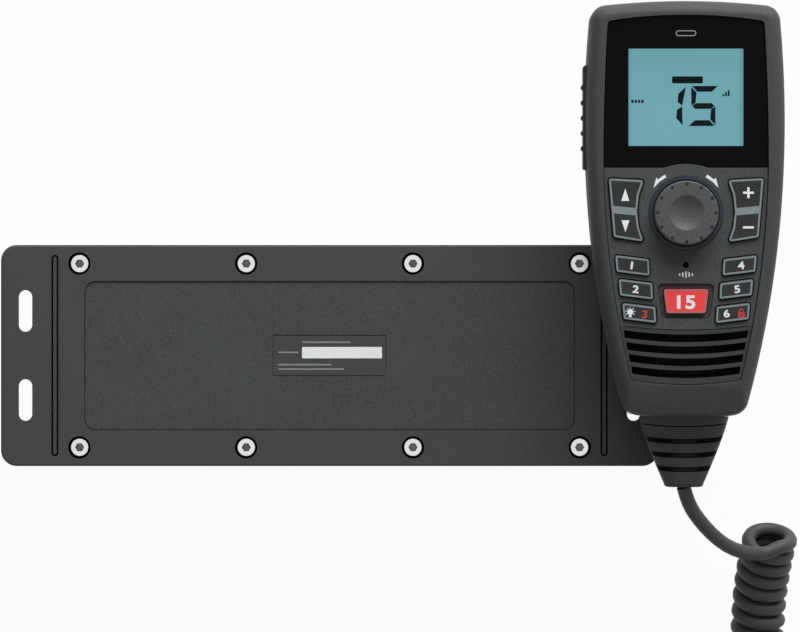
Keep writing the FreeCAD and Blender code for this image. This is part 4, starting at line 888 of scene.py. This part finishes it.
def grille_seam():
    """The bowed line above the speaker's slots, printed as painted shade."""
    across = [GRILLE_SEAM_REACH * i / 8 for i in range(-8, 9)]
    arc = [(x, GRILLE_SEAM_Y + GRILLE_SEAM_BOW * (x / GRILLE_SEAM_HALF) ** 2) for x in across]
    half = SEAM_WIDTH / 2
    loop = [(x, y - half) for x, y in arc] + [(x, y + half) for x, y in reversed(arc)]
    return thin_shape("grille_seam", [loop], FASCIA_Z)


class RADIO_OT_panel(bpy.types.Operator):
    """Keypad panel with its grille, the turning arrows and the sound mark"""

    bl_idname = "radio.panel"
    bl_label = "Keypad panel"

    def execute(self, context):
        panel = dress("keypad_panel", 0.2 * MM)
        # The bezel floor gets painted shade.
        paint_faces(panel, "bezel_shade", is_bezel_floor)
        paint_nodes("grille_cloth", "speaker", "mic_capsule")
        # A dark cloth disc stands in for the shade inside the microphone's hole.
        disc = disc_loop(0, MIC_Y, MIC_SHADE_DISC_RADIUS)
        mesh = flat_shape("mic_hole_shade_disc", [disc], *MIC_SHADE_DISC_Z)
        printed(mesh, "handset", "cloth")
        marks = turning_arrows() + sound_bars()
        # The bowed seam above the slots is a painted shadow line.
        printed(grille_seam(), "handset", "seam_shadow")
        printed(join_pieces("panel_marks", marks), "handset", "white_print")
        return {"FINISHED"}


def seven_segments(digit, x, thick, y, width, height, gap, slant):
    """Loops of a slanted seven-segment figure, a one or a five."""
    middle = y + height / 2
    top = y + height
    right = x + width
    inner_left = x + thick
    inner_right = right - thick
    half = thick / 2
    tip = 0.3 * thick
    shapes = {
        "top": [
            (x + gap, top),
            (inner_left + gap, top - thick),
            (inner_right - gap, top - thick),
            (right - gap, top),
        ],
        "upper_right": [
            (right, top - gap),
            (inner_right, top - thick - gap),
            (inner_right, middle + half + gap / 2),
            (right - tip, middle + gap / 2),
        ],
        "lower_right": [
            (right, y + gap),
            (right - tip, middle - gap / 2),
            (inner_right, middle - half - gap / 2),
            (inner_right, y + thick + gap),
        ],
        "foot": [
            (x + gap, y),
            (right - gap, y),
            (inner_right - gap, y + thick),
            (inner_left + gap, y + thick),
        ],
        "upper_left": [
            (x, top - gap),
            (x + tip, middle + gap / 2),
            (inner_left, middle + half + gap / 2),
            (inner_left, top - thick - gap),
        ],
        "middle": [
            (x + 0.45 * thick, middle),
            (inner_left, middle - half),
            (inner_right, middle - half),
            (right - 0.45 * thick, middle),
            (inner_right, middle + half),
            (inner_left, middle + half),
        ],
    }
    lit = {
        "1": ("upper_right", "lower_right"),
        "5": ("top", "upper_left", "middle", "lower_right", "foot"),
    }[digit]
    return [[(px + (py - y) * slant, py) for px, py in shapes[key]] for key in lit]


def display_loops():
    """What the display shows: 15 under a bar, and a few dots and bars beside it."""
    loops = seven_segments("1", x=-9.5, thick=2.2, **FIGURE)
    loops += seven_segments("5", x=0.75, thick=1.8, **FIGURE)
    loops.append(rounded_loop(-4.2, 5.45, 103.2, 105.4, 0.4))
    for i in range(3):
        shift = 0.8 * i
        loops.append(rounded_loop(11.6 + shift, 12.15 + shift, 99.2, 99.9 + 0.6 * i, 0.05, 2))
    for i in range(4):
        shift = 1.05 * i
        loops.append(rounded_loop(-16.9 + shift, -16.2 + shift, 97.1, 98.1, 0.05, 2))
    return loops


def cut_window(lens):
    """Opens the clear window in the dark lens."""
    low, high = (
        on_handset(side * WINDOW_HALF, y, z) for side, y, z in zip((-1, 1), WINDOW_Y, WINDOW_CUT_Z)
    )
    bpy.ops.object.select_all(action="DESELECT")
    bpy.ops.mesh.primitive_cube_add(size=1, location=(low + high) / 2)
    cutter = bpy.context.object
    cutter.scale = high - low
    select_only(lens)
    bpy.ops.object.modifier_add(type="BOOLEAN")
    cut = lens.modifiers[-1]
    cut.object = cutter
    cut.solver = "EXACT"
    bpy.ops.object.modifier_apply(modifier=cut.name)
    bpy.data.objects.remove(cutter)


class RADIO_OT_display(bpy.types.Operator):
    """Dark lens with a clear window over the lit display and its figures"""

    bl_idname = "radio.display"
    bl_label = "Display"

    def execute(self, context):
        lens = merged_copy("display_lens", "display_lens_finished")
        cut_window(lens)
        lens.data.materials.clear()
        lens.data.materials.append(finish("lens_plastic"))
        round_edges(lens, 0.18 * MM)
        smooth(lens)
        stand_for(lens, "display_lens")
        half = WINDOW_HALF - PANE_GAP
        low, high = WINDOW_Y
        opening = rounded_loop(-half, half, low + PANE_GAP, high - PANE_GAP, 0.05, 2)
        pane = flat_shape("display_window", [opening], PANE_LOW_Z, FASCIA_Z - PANE_GAP)
        printed(pane, "handset", "window_pane")
        paint_nodes("lcd_panel", "light_guide", "lcd_frame", "handset_board", "keypad_mat")
        shapes = [thin_shape("display_figure", [loop], LCD_FACE_Z) for loop in display_loops()]
        figures = join_pieces("display_figures", shapes)
        printed(figures, "handset", "display_ink")
        rim = rounded_loop(-3.2, 3.2, 117.8, 119.6, 0.9)
        inside = rounded_loop(-2.9, 2.9, 118.1, 119.3, 0.6)
        lamp = thin_shape("status_lamp_ring", [rim, inside], FASCIA_Z)
        printed(lamp, "handset", "grey_print")
        return {"FINISHED"}


def is_in_knob_mark(at, normal):
    """The ring grooves of the twelve marks in the knob's face, which get painted shade."""
    out = at - on_handset(0, KNOB_Y)
    turn = math.atan2(out.x, out.y)
    apart = 2 * math.pi / KNOB_MARKS
    nearest = round(turn / apart) * apart
    across, along = KNOB_MARK_RING * math.sin(nearest), KNOB_MARK_RING * math.cos(nearest)
    mark = on_handset(across, KNOB_Y + along)
    from_mark = math.hypot(at.x - mark.x, at.y - mark.y)
    depth = on_handset(0, 0, KNOB_TOP_Z).z - at.z
    return from_mark < KNOB_MARK_RADIUS * MM and depth > 0.03 * MM


class RADIO_OT_knob(bpy.types.Operator):
    """Turning knob with its finger dish and finger marks, the ring round it and its encoder"""

    bl_idname = "radio.knob"
    bl_label = "Knob"

    def execute(self, context):
        knob = dress("knob", 0.12 * MM)
        dress("knob_ring", 0.2 * MM)
        paint_nodes("encoder_shaft", "encoder_body")
        # The marks' ring grooves get painted shade.
        paint_faces(knob, "seam_shadow", is_in_knob_mark)
        return {"FINISHED"}


def is_key_rim(at, normal):
    """The rounded edge of a key's top."""
    return 0.15 < normal.z < 0.98 and at.z > on_handset(0, 0, FASCIA_Z).z


def outlined_key(node, line_width, line_finish, margin, edge, rim_finish=None):
    """A key whose flat top carries a printed line round its rim."""
    piece = merged_copy(node, node + "_finished")
    piece.data.materials.append(finish(SLOT_OF[node]))
    piece.data.materials.append(finish(line_finish))
    round_edges(piece, edge)
    top = max(vertex.co.z for vertex in piece.data.vertices)

    def draw_line():
        select_faces(piece, lambda at, normal: at.z > top - 0.01 * MM and normal.z > 0.99)
        bpy.ops.mesh.dissolve_faces()
        bpy.ops.mesh.inset(thickness=margin, depth=0)
        piece.active_material_index = 1
        bpy.ops.object.material_slot_assign()
        bpy.ops.mesh.inset(thickness=line_width, depth=0)
        piece.active_material_index = 0
        bpy.ops.object.material_slot_assign()

    in_edit_mode(piece, draw_line)
    if rim_finish:
        paint_faces(piece, rim_finish, is_key_rim)
    smooth(piece)
    stand_for(piece, node)


def up_and_down():
    """The channel rocker's two triangles."""
    x_up, x_down, half = -18.95, -18.9, 1.25
    return (
        [(x_up - half, 66.43), (x_up + half, 66.43), (x_up, 70.29)],
        [(x_down - half, 60.4), (x_down, 56.7), (x_down + half, 60.4)],
    )


def plus_and_minus():
    """The scan rocker's two signs; the plus is a bar with two stubs."""
    x, plus_y, minus_y, reach, half = 19.4, 69.0, 58.2, 1.7, 0.35
    return (
        bar_loop(x, plus_y, reach, half, 0.1, 2),
        rounded_loop(x - half, x + half, plus_y + half, plus_y + reach, 0.1, 2),
        rounded_loop(x - half, x + half, plus_y - reach, plus_y - half, 0.1, 2),
        bar_loop(x, minus_y, reach, half, 0.1, 2),
    )


class RADIO_OT_rockers(bpy.types.Operator):
    """The two rockers beside the knob, each with an outline, a cross bar and two marks"""

    bl_idname = "radio.rockers"
    bl_label = "Rockers"

    def execute(self, context):
        width = context.scene.radio_handset.key_line
        for node, side in (("channel_rocker", -1), ("scan_rocker", 1)):
            outlined_key(node, width, "key_line", 0.12 * MM, 0.2 * MM)
            corners = ((23.3, 1.15), (23.1, -1.15), (15.2, -1.15), (15.6, 1.15))
            bar = [(side * x, 63.4 + 0.093 * (x - 19.2) + rise) for x, rise in corners]
            line = thin_shape(node + "_bar", [bar], ROCKER_TOP_Z)
            printed(line, node, "key_line")
        for node, name, loops in (
            ("channel_rocker", "channel_mark", up_and_down()),
            ("scan_rocker", "scan_mark", plus_and_minus()),
        ):
            shapes = [thin_shape(name, [loop], ROCKER_TOP_Z) for loop in loops]
            printed(join_pieces(name + "s", shapes), node, "white_print")
        return {"FINISHED"}


def lamp_symbol(x, y, z):
    """A lamp with rays, as separate thin plates."""
    middle = Vector((x, y + 0.15))
    base = rounded_loop(x - 0.42, x + 0.42, y - 1.5, y - 0.85, 0.1, 2)
    pieces = [
        thin_shape("lamp_bulb", [disc_loop(x, y + 0.15, 0.95)], z),
        thin_shape("lamp_base", [base], z),
    ]
    for i in range(7):
        turn = math.radians(-30 + 40 * i)
        out = Vector((math.cos(turn), math.sin(turn)))
        across = Vector((-out.y, out.x)) * 0.13
        start = middle + out * 1.15
        end = middle + out * 1.55
        corners = [start - across, end - across, end + across, start + across]
        pieces.append(thin_shape("lamp_ray", [[tuple(c) for c in corners]], z))
    return join_pieces("lamp_symbol", pieces)


def padlock_symbol(x, y, z):
    """A padlock with a keyhole and an arch of even width."""
    case = rounded_loop(x - 1.05, x + 1.05, y - 1.45, y + 0.3, 0.2, 3)
    keyhole = disc_loop(x, y - 0.55, 0.3, 12)
    turns = [math.pi * i / 12 for i in range(13)]
    outer = [(x + 0.75 * math.cos(t), y + 0.55 + 0.9 * math.sin(t)) for t in turns]
    inner = [(x + 0.42 * math.cos(t), y + 0.55 + 0.56 * math.sin(t)) for t in reversed(turns)]
    feet = [(x + side, y + 0.3) for side in (0.75, -0.75, -0.42, 0.42)]
    arch = [feet[0], *outer, feet[1], feet[2], *inner, feet[3]]
    shapes = [thin_shape("lock_body", [case, keyhole], z), thin_shape("lock_arch", [arch], z)]
    return join_pieces("padlock_symbol", shapes)


def key_figure(node, words, x, y, turn):
    """The figure on a small key."""
    return lettering(node + "_figure", words, x, y, 2.4, KEY_TOP_Z, turn, 1.25, 0.03)


class RADIO_OT_side_keys(bpy.types.Operator):
    """Six small keys in two slanting rows, with plain figures and two symbols"""

    bl_idname = "radio.side_keys"
    bl_label = "Side keys"

    def execute(self, context):
        width = context.scene.radio_handset.key_line
        slant = math.radians(7)
        figures = {
            "key_left_top": ("1", -16.9, 45.9, -slant),
            "key_left_middle": ("2", -15.7, 38.5, -slant),
            "key_right_top": ("4", 17.1, 45.9, slant),
            "key_right_middle": ("5", 15.9, 38.5, slant),
            "key_right_bottom": ("6", 12.6, 30.9, slant),
        }
        for row in ("top", "middle", "bottom"):
            for side in ("left", "right"):
                outlined_key("key_%s_%s" % (side, row), width, "key_line", 0.1 * MM, 0.18 * MM)
        for node, (words, x, y, turn) in figures.items():
            text = key_figure(node, words, x, y + 0.45, turn)
            printed(text, node, "white_print")
        lamp = lamp_symbol(-17.4, 31.7, KEY_TOP_Z)
        printed(lamp, "key_left_bottom", "white_print")
        third = key_figure("key_left_bottom", "3", -12.9, 31.1, -slant)
        printed(third, "key_left_bottom", "red_print")
        lock = padlock_symbol(17.2, 31.5, KEY_TOP_Z)
        printed(lock, "key_right_bottom", "red_print")
        return {"FINISHED"}


class RADIO_OT_centre_key(bpy.types.Operator):
    """The red centre key with its pale rim and figures"""

    bl_idname = "radio.centre_key"
    bl_label = "Centre key"

    def execute(self, context):
        rim = "centre_key_line"
        outlined_key("key_centre", 0.5 * MM, rim, 0.001 * MM, 0.18 * MM, rim)
        text = lettering("key_centre_figure", "15", 0, 34.9, 4.3, KEY_TOP_Z, 0, 1.2, 0.034)
        printed(text, "key_centre", "white_print")
        return {"FINISHED"}


class RADIO_OT_push_to_talk(bpy.types.Operator):
    """Push-to-talk pad on the handset's left side with its lever and switch"""

    bl_idname = "radio.push_to_talk"
    bl_label = "Push to talk"

    def execute(self, context):
        dress("ptt_pad", 0.15 * MM)
        paint_nodes("ptt_lever", "ptt_switch")
        return {"FINISHED"}


# ---------------------------------------------------------------- cord

TAIL_ROUTE = [
    (0.1114, -0.0412, 0.0525),
    (0.1125, -0.0453, 0.0512),
    (0.1152, -0.0503, 0.0491),
    (0.1217, -0.0576, 0.0446),
    (0.1289, -0.0621, 0.0388),
    (0.1382, -0.0633, 0.0324),
]
COIL_ROUTE = [
    (0.1403, -0.0570, 0.0266),
    (0.1376, -0.0704, 0.0184),
    (0.1368, -0.0905, 0.0099),
    (0.1364, -0.1150, 0.0089),
    (0.1272, -0.1372, 0.0089),
    (0.1102, -0.1542, 0.0089),
    (0.0880, -0.1634, 0.0089),
    (0.0620, -0.1646, 0.0089),
    (0.0360, -0.1626, 0.0089),
    (0.0100, -0.1649, 0.0089),
    (-0.0140, -0.1636, 0.0089),
]
END_ROUTE = [
    (-0.0140, -0.1636, 0.0089),
    (-0.0300, -0.1624, 0.0076),
    (-0.0480, -0.1644, 0.0076),
    (-0.0642, -0.1638, 0.0092),
]
FIRST_TURN_SIDE = Vector((0, -0.53, 0.85))
POINTS_PER_TURN = 16
TIGHT_TURNS = 4
CLOSING_TURNS = 0.75
CLOSED_SHARE = 0.25


def add_nurbs(curve, points):
    """One smooth open spline with those control points."""
    spline = curve.splines.new("NURBS")
    spline.points.add(len(points) - 1)
    for point, at in zip(spline.points, points):
        point.co = (*at, 1)
    spline.order_u = 3
    spline.use_endpoint_u = True


def read_route(route):
    """Points along a route's smooth line, as Blender evaluates it."""
    curve = bpy.data.curves.new("route", "CURVE")
    curve.dimensions = "3D"
    curve.resolution_u = 24
    add_nurbs(curve, route)
    holder = bpy.data.objects.new("route", curve)
    mesh = bpy.data.meshes.new_from_object(holder)
    points = [vertex.co.copy() for vertex in mesh.vertices]
    bpy.data.objects.remove(holder)
    bpy.data.meshes.remove(mesh)
    bpy.data.curves.remove(curve)
    return points


def at_distance(points, distances, distance):
    """The place and heading at a distance along a line."""
    for i in range(1, len(points)):
        if distances[i] >= distance or i == len(points) - 1:
            span = distances[i] - distances[i - 1]
            share = (distance - distances[i - 1]) / span
            return points[i - 1].lerp(points[i], share), (points[i] - points[i - 1]).normalized()


def coil_points(radius, pitch, first_pitch):
    """The curly cord's turns, about the coil's own smooth centreline.

    The control points stand outside the turns, because the spline runs inside them. The last
    part of the last turn draws in to meet the plain end."""
    centre_line = read_route(COIL_ROUTE)
    distances = [0.0]
    for before, after in zip(centre_line, centre_line[1:]):
        distances.append(distances[-1] + (after - before).length)
    tight_run = TIGHT_TURNS * first_pitch
    turns = TIGHT_TURNS + round((distances[-1] - tight_run) / pitch)
    open_pitch = (distances[-1] - tight_run) / (turns - TIGHT_TURNS)
    steps = turns * POINTS_PER_TURN
    step = 2 * math.pi / POINTS_PER_TURN
    control_radius = radius / (0.75 + 0.25 * math.cos(step))
    closing_steps = CLOSING_TURNS * POINTS_PER_TURN
    side = FIRST_TURN_SIDE
    points = []
    for i in range(steps + 1):
        turned = i / POINTS_PER_TURN
        tight = min(turned, TIGHT_TURNS)
        distance = first_pitch * tight + open_pitch * (turned - tight)
        centre, heading = at_distance(centre_line, distances, distance)
        side = (side - heading * side.dot(heading)).normalized()
        across = side.cross(heading)
        turn = step * i
        opened = (steps - i) / closing_steps
        out = control_radius * min(1.0, CLOSED_SHARE + (1 - CLOSED_SHARE) * opened)
        points.append(centre + (side * math.cos(turn) + across * math.sin(turn)) * out)
    return points


def behind_boot_root(at):
    """Millimetres from the boot's root, measured along its leaning grooves."""
    rise = at.z - on_handset(0, 0, BOOT_AXIS_Z).z
    return (BOOT_Y * MM - at.y - rise * math.tan(GROOVE_LEAN)) / MM


def is_collar_line(at, normal):
    """The thin line round the boot's collar, painted as shade."""
    return abs(behind_boot_root(at) - COLLAR_LINE) < COLLAR_LINE_HALF


def is_in_groove(at, normal):
    """The boot's grooves, walls and floors, which get painted shade."""
    back = behind_boot_root(at) - FIRST_GROOVE
    return any(abs(back - GROOVE_PITCH * i) < GROOVE_HALF for i in range(GROOVES))


class RADIO_OT_cord(bpy.types.Operator):
    """Strain relief boot, and the curly cord as one line from the boot to the plug"""

    bl_idname = "radio.cord"
    bl_label = "Cord"

    def execute(self, context):
        settings = context.scene.radio_cord
        boot = dress("cord_boot", 0.12 * MM)
        # The grooves get painted shade, darkest beside the webs and at the grooves' edges.
        paint_faces(boot, "painted_groove_shade", is_in_groove)
        # The collar line gets painted shade.
        paint_faces(boot, "deep_shadow", is_collar_line)
        curve = bpy.data.curves.new("curly_cord", "CURVE")
        curve.dimensions = "3D"
        curve.resolution_u = 3
        curve.bevel_depth = settings.diameter / 2
        curve.bevel_resolution = 4
        curve.use_fill_caps = True
        turns = coil_points(settings.coil_radius, settings.coil_pitch, settings.first_pitch)
        line = [Vector(p) for p in TAIL_ROUTE] + turns[1:] + [Vector(p) for p in END_ROUTE[1:]]
        add_nurbs(curve, line)
        cord = bpy.data.objects.new("curly_cord", curve)
        context.scene.collection.objects.link(cord)
        curve.materials.append(finish("cord_rubber"))
        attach(cord, "handset")
        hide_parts("cord_tail", "cord_coil", "cord_end")
        edges = {"plug_boot": 0.25 * MM, "plug_body": 0.15 * MM, "plug_ring": 0.12 * MM}
        plug = [dress(node, edge) for node, edge in edges.items()]
        paint_nodes("plug_insert", "plug_pins")
        plug += [frame["nodes"]["plug_insert"], frame["nodes"]["plug_pins"]]
        return {"FINISHED"}


# ---------------------------------------------------------------- stage

FLOOR_SIZE = 8
FLOOR_Z = -0.0002
FLOOR_GLOW = 0.96
KEY_LIGHT = (0.42, 1.50, 0.75)
KEY_LIGHT_SIZE = (1.5, 1.0)
KEY_LIGHT_AIM = Vector((0.02, 0, 0))
CAMERA = (0.0223, 0.0125, 2.038)
CAMERA_LENS = 284.4


class RADIO_OT_stage(bpy.types.Operator):
    """Pale floor, even soft light and the camera straight above"""

    bl_idname = "radio.stage"
    bl_label = "Stage"

    def execute(self, context):
        settings = context.scene.radio_stage
        bpy.ops.object.select_all(action="DESELECT")
        bpy.ops.mesh.primitive_plane_add(size=FLOOR_SIZE, location=(0, 0, FLOOR_Z))
        floor = context.object
        floor.name = "stage_floor"
        bpy.ops.object.transform_apply(location=True, rotation=False, scale=False)
        floor.data.materials.append(floor_finish(settings.floor))
        light_world(context.scene, settings.world_level)
        bpy.ops.object.light_add(type="AREA", location=KEY_LIGHT)
        key = context.object
        key.name = "key_light"
        key.data.shape = "RECTANGLE"
        key.data.size, key.data.size_y = KEY_LIGHT_SIZE
        key.data.energy = settings.key_power
        aim = KEY_LIGHT_AIM - key.location
        key.rotation_euler = aim.to_track_quat("-Z", "Y").to_euler()
        bpy.ops.object.camera_add(location=CAMERA, rotation=(0, 0, 0))
        camera = context.object
        camera.data.sensor_width = 36
        camera.data.lens = CAMERA_LENS
        camera.data.clip_end = 12
        context.scene.camera = camera
        context.scene.view_settings.view_transform = "Standard"
        return {"FINISHED"}


def seen_directly(tree):
    """One where a camera, gloss or glass ray arrives, and nought elsewhere."""
    path = tree.nodes.new("ShaderNodeLightPath")
    seen = path.outputs["Is Camera Ray"]
    for kind in ("Is Glossy Ray", "Is Transmission Ray"):
        either = tree.nodes.new("ShaderNodeMath")
        either.operation = "MAXIMUM"
        tree.links.new(seen, either.inputs[0])
        tree.links.new(path.outputs[kind], either.inputs[1])
        seen = either.outputs["Value"]
    return seen


def shown_between(tree, share, lit, plain, end):
    """Two shaders mixed by a share, as the tree's result."""
    blend = tree.nodes.new("ShaderNodeMixShader")
    tree.links.new(share, blend.inputs[0])
    tree.links.new(lit.outputs[0], blend.inputs[1])
    tree.links.new(plain.outputs[0], blend.inputs[2])
    tree.links.new(blend.outputs[0], tree.nodes[end].inputs["Surface"])


def floor_finish(colour):
    """A matt pale floor that reads white and keeps a faint shadow."""
    recipe = grained("stage_floor", colour, 0.9, 1.5 * MM, 0.02 * MM, 0.1, 0.02)
    glow = recipe.node("Emission")
    glow.inputs["Strength"].default_value = 1
    share = recipe.maths("MULTIPLY", seen_directly(recipe.tree), FLOOR_GLOW)
    shown_between(recipe.tree, share, recipe.shader, glow, "Material Output")
    return recipe.material


def light_world(scene, level):
    """Even light on the radio, from a world that itself is seen as white."""
    world = bpy.data.worlds.new("soft_room")
    world.use_nodes = True
    tree = world.node_tree
    even = tree.nodes["Background"]
    white = tree.nodes.new("ShaderNodeBackground")
    for background, strength in ((even, level), (white, 1)):
        background.inputs["Color"].default_value = (1, 1, 1, 1)
        background.inputs["Strength"].default_value = strength
    shown_between(tree, seen_directly(tree), even, white, "World Output")
    scene.world = world


# ---------------------------------------------------------------- add-on


STEPS = [
    RADIO_OT_plate,
    RADIO_OT_casting,
    RADIO_OT_screws,
    RADIO_OT_sockets,
    RADIO_OT_label,
    RADIO_OT_transceiver_inside,
    RADIO_OT_case,
    RADIO_OT_panel,
    RADIO_OT_display,
    RADIO_OT_knob,
    RADIO_OT_rockers,
    RADIO_OT_side_keys,
    RADIO_OT_centre_key,
    RADIO_OT_push_to_talk,
    RADIO_OT_cord,
    RADIO_OT_stage,
]
SETTINGS = {
    "radio_metal": MetalSettings,
    "radio_handset": HandsetSettings,
    "radio_cord": CordSettings,
    "radio_stage": StageSettings,
}


class RADIO_PT_pieces(bpy.types.Panel):
    """Lists the radio's pieces, each with the button that builds it"""

    bl_idname = "RADIO_PT_pieces"
    bl_label = "Marine Radio"
    bl_space_type = "VIEW_3D"
    bl_region_type = "UI"
    bl_category = "Marine Radio"

    def draw(self, context):
        for step in STEPS:
            self.layout.operator(step.bl_idname)
        for name, group in SETTINGS.items():
            box = self.layout.box()
            settings = getattr(context.scene, name)
            for key in group.__annotations__:
                box.prop(settings, key)


def register():
    for name, group in SETTINGS.items():
        bpy.utils.register_class(group)
        setattr(bpy.types.Scene, name, bpy.props.PointerProperty(type=group))
    for step in STEPS:
        bpy.utils.register_class(step)
    bpy.utils.register_class(RADIO_PT_pieces)


def unregister():
    bpy.utils.unregister_class(RADIO_PT_pieces)
    for step in reversed(STEPS):
        bpy.utils.unregister_class(step)
    for name, group in SETTINGS.items():
        delattr(bpy.types.Scene, name)
        bpy.utils.unregister_class(group)


def plain(box):
    """A box's corners as lists of numbers."""
    return [[float(value) for value in corner] for corner in box]


def main():
    """Builds the radio and its stage."""
    register()
    for step in STEPS:
        group, name = step.bl_idname.split(".")
        getattr(getattr(bpy.ops, group), name)()


if __name__ == "__main__":
    main()
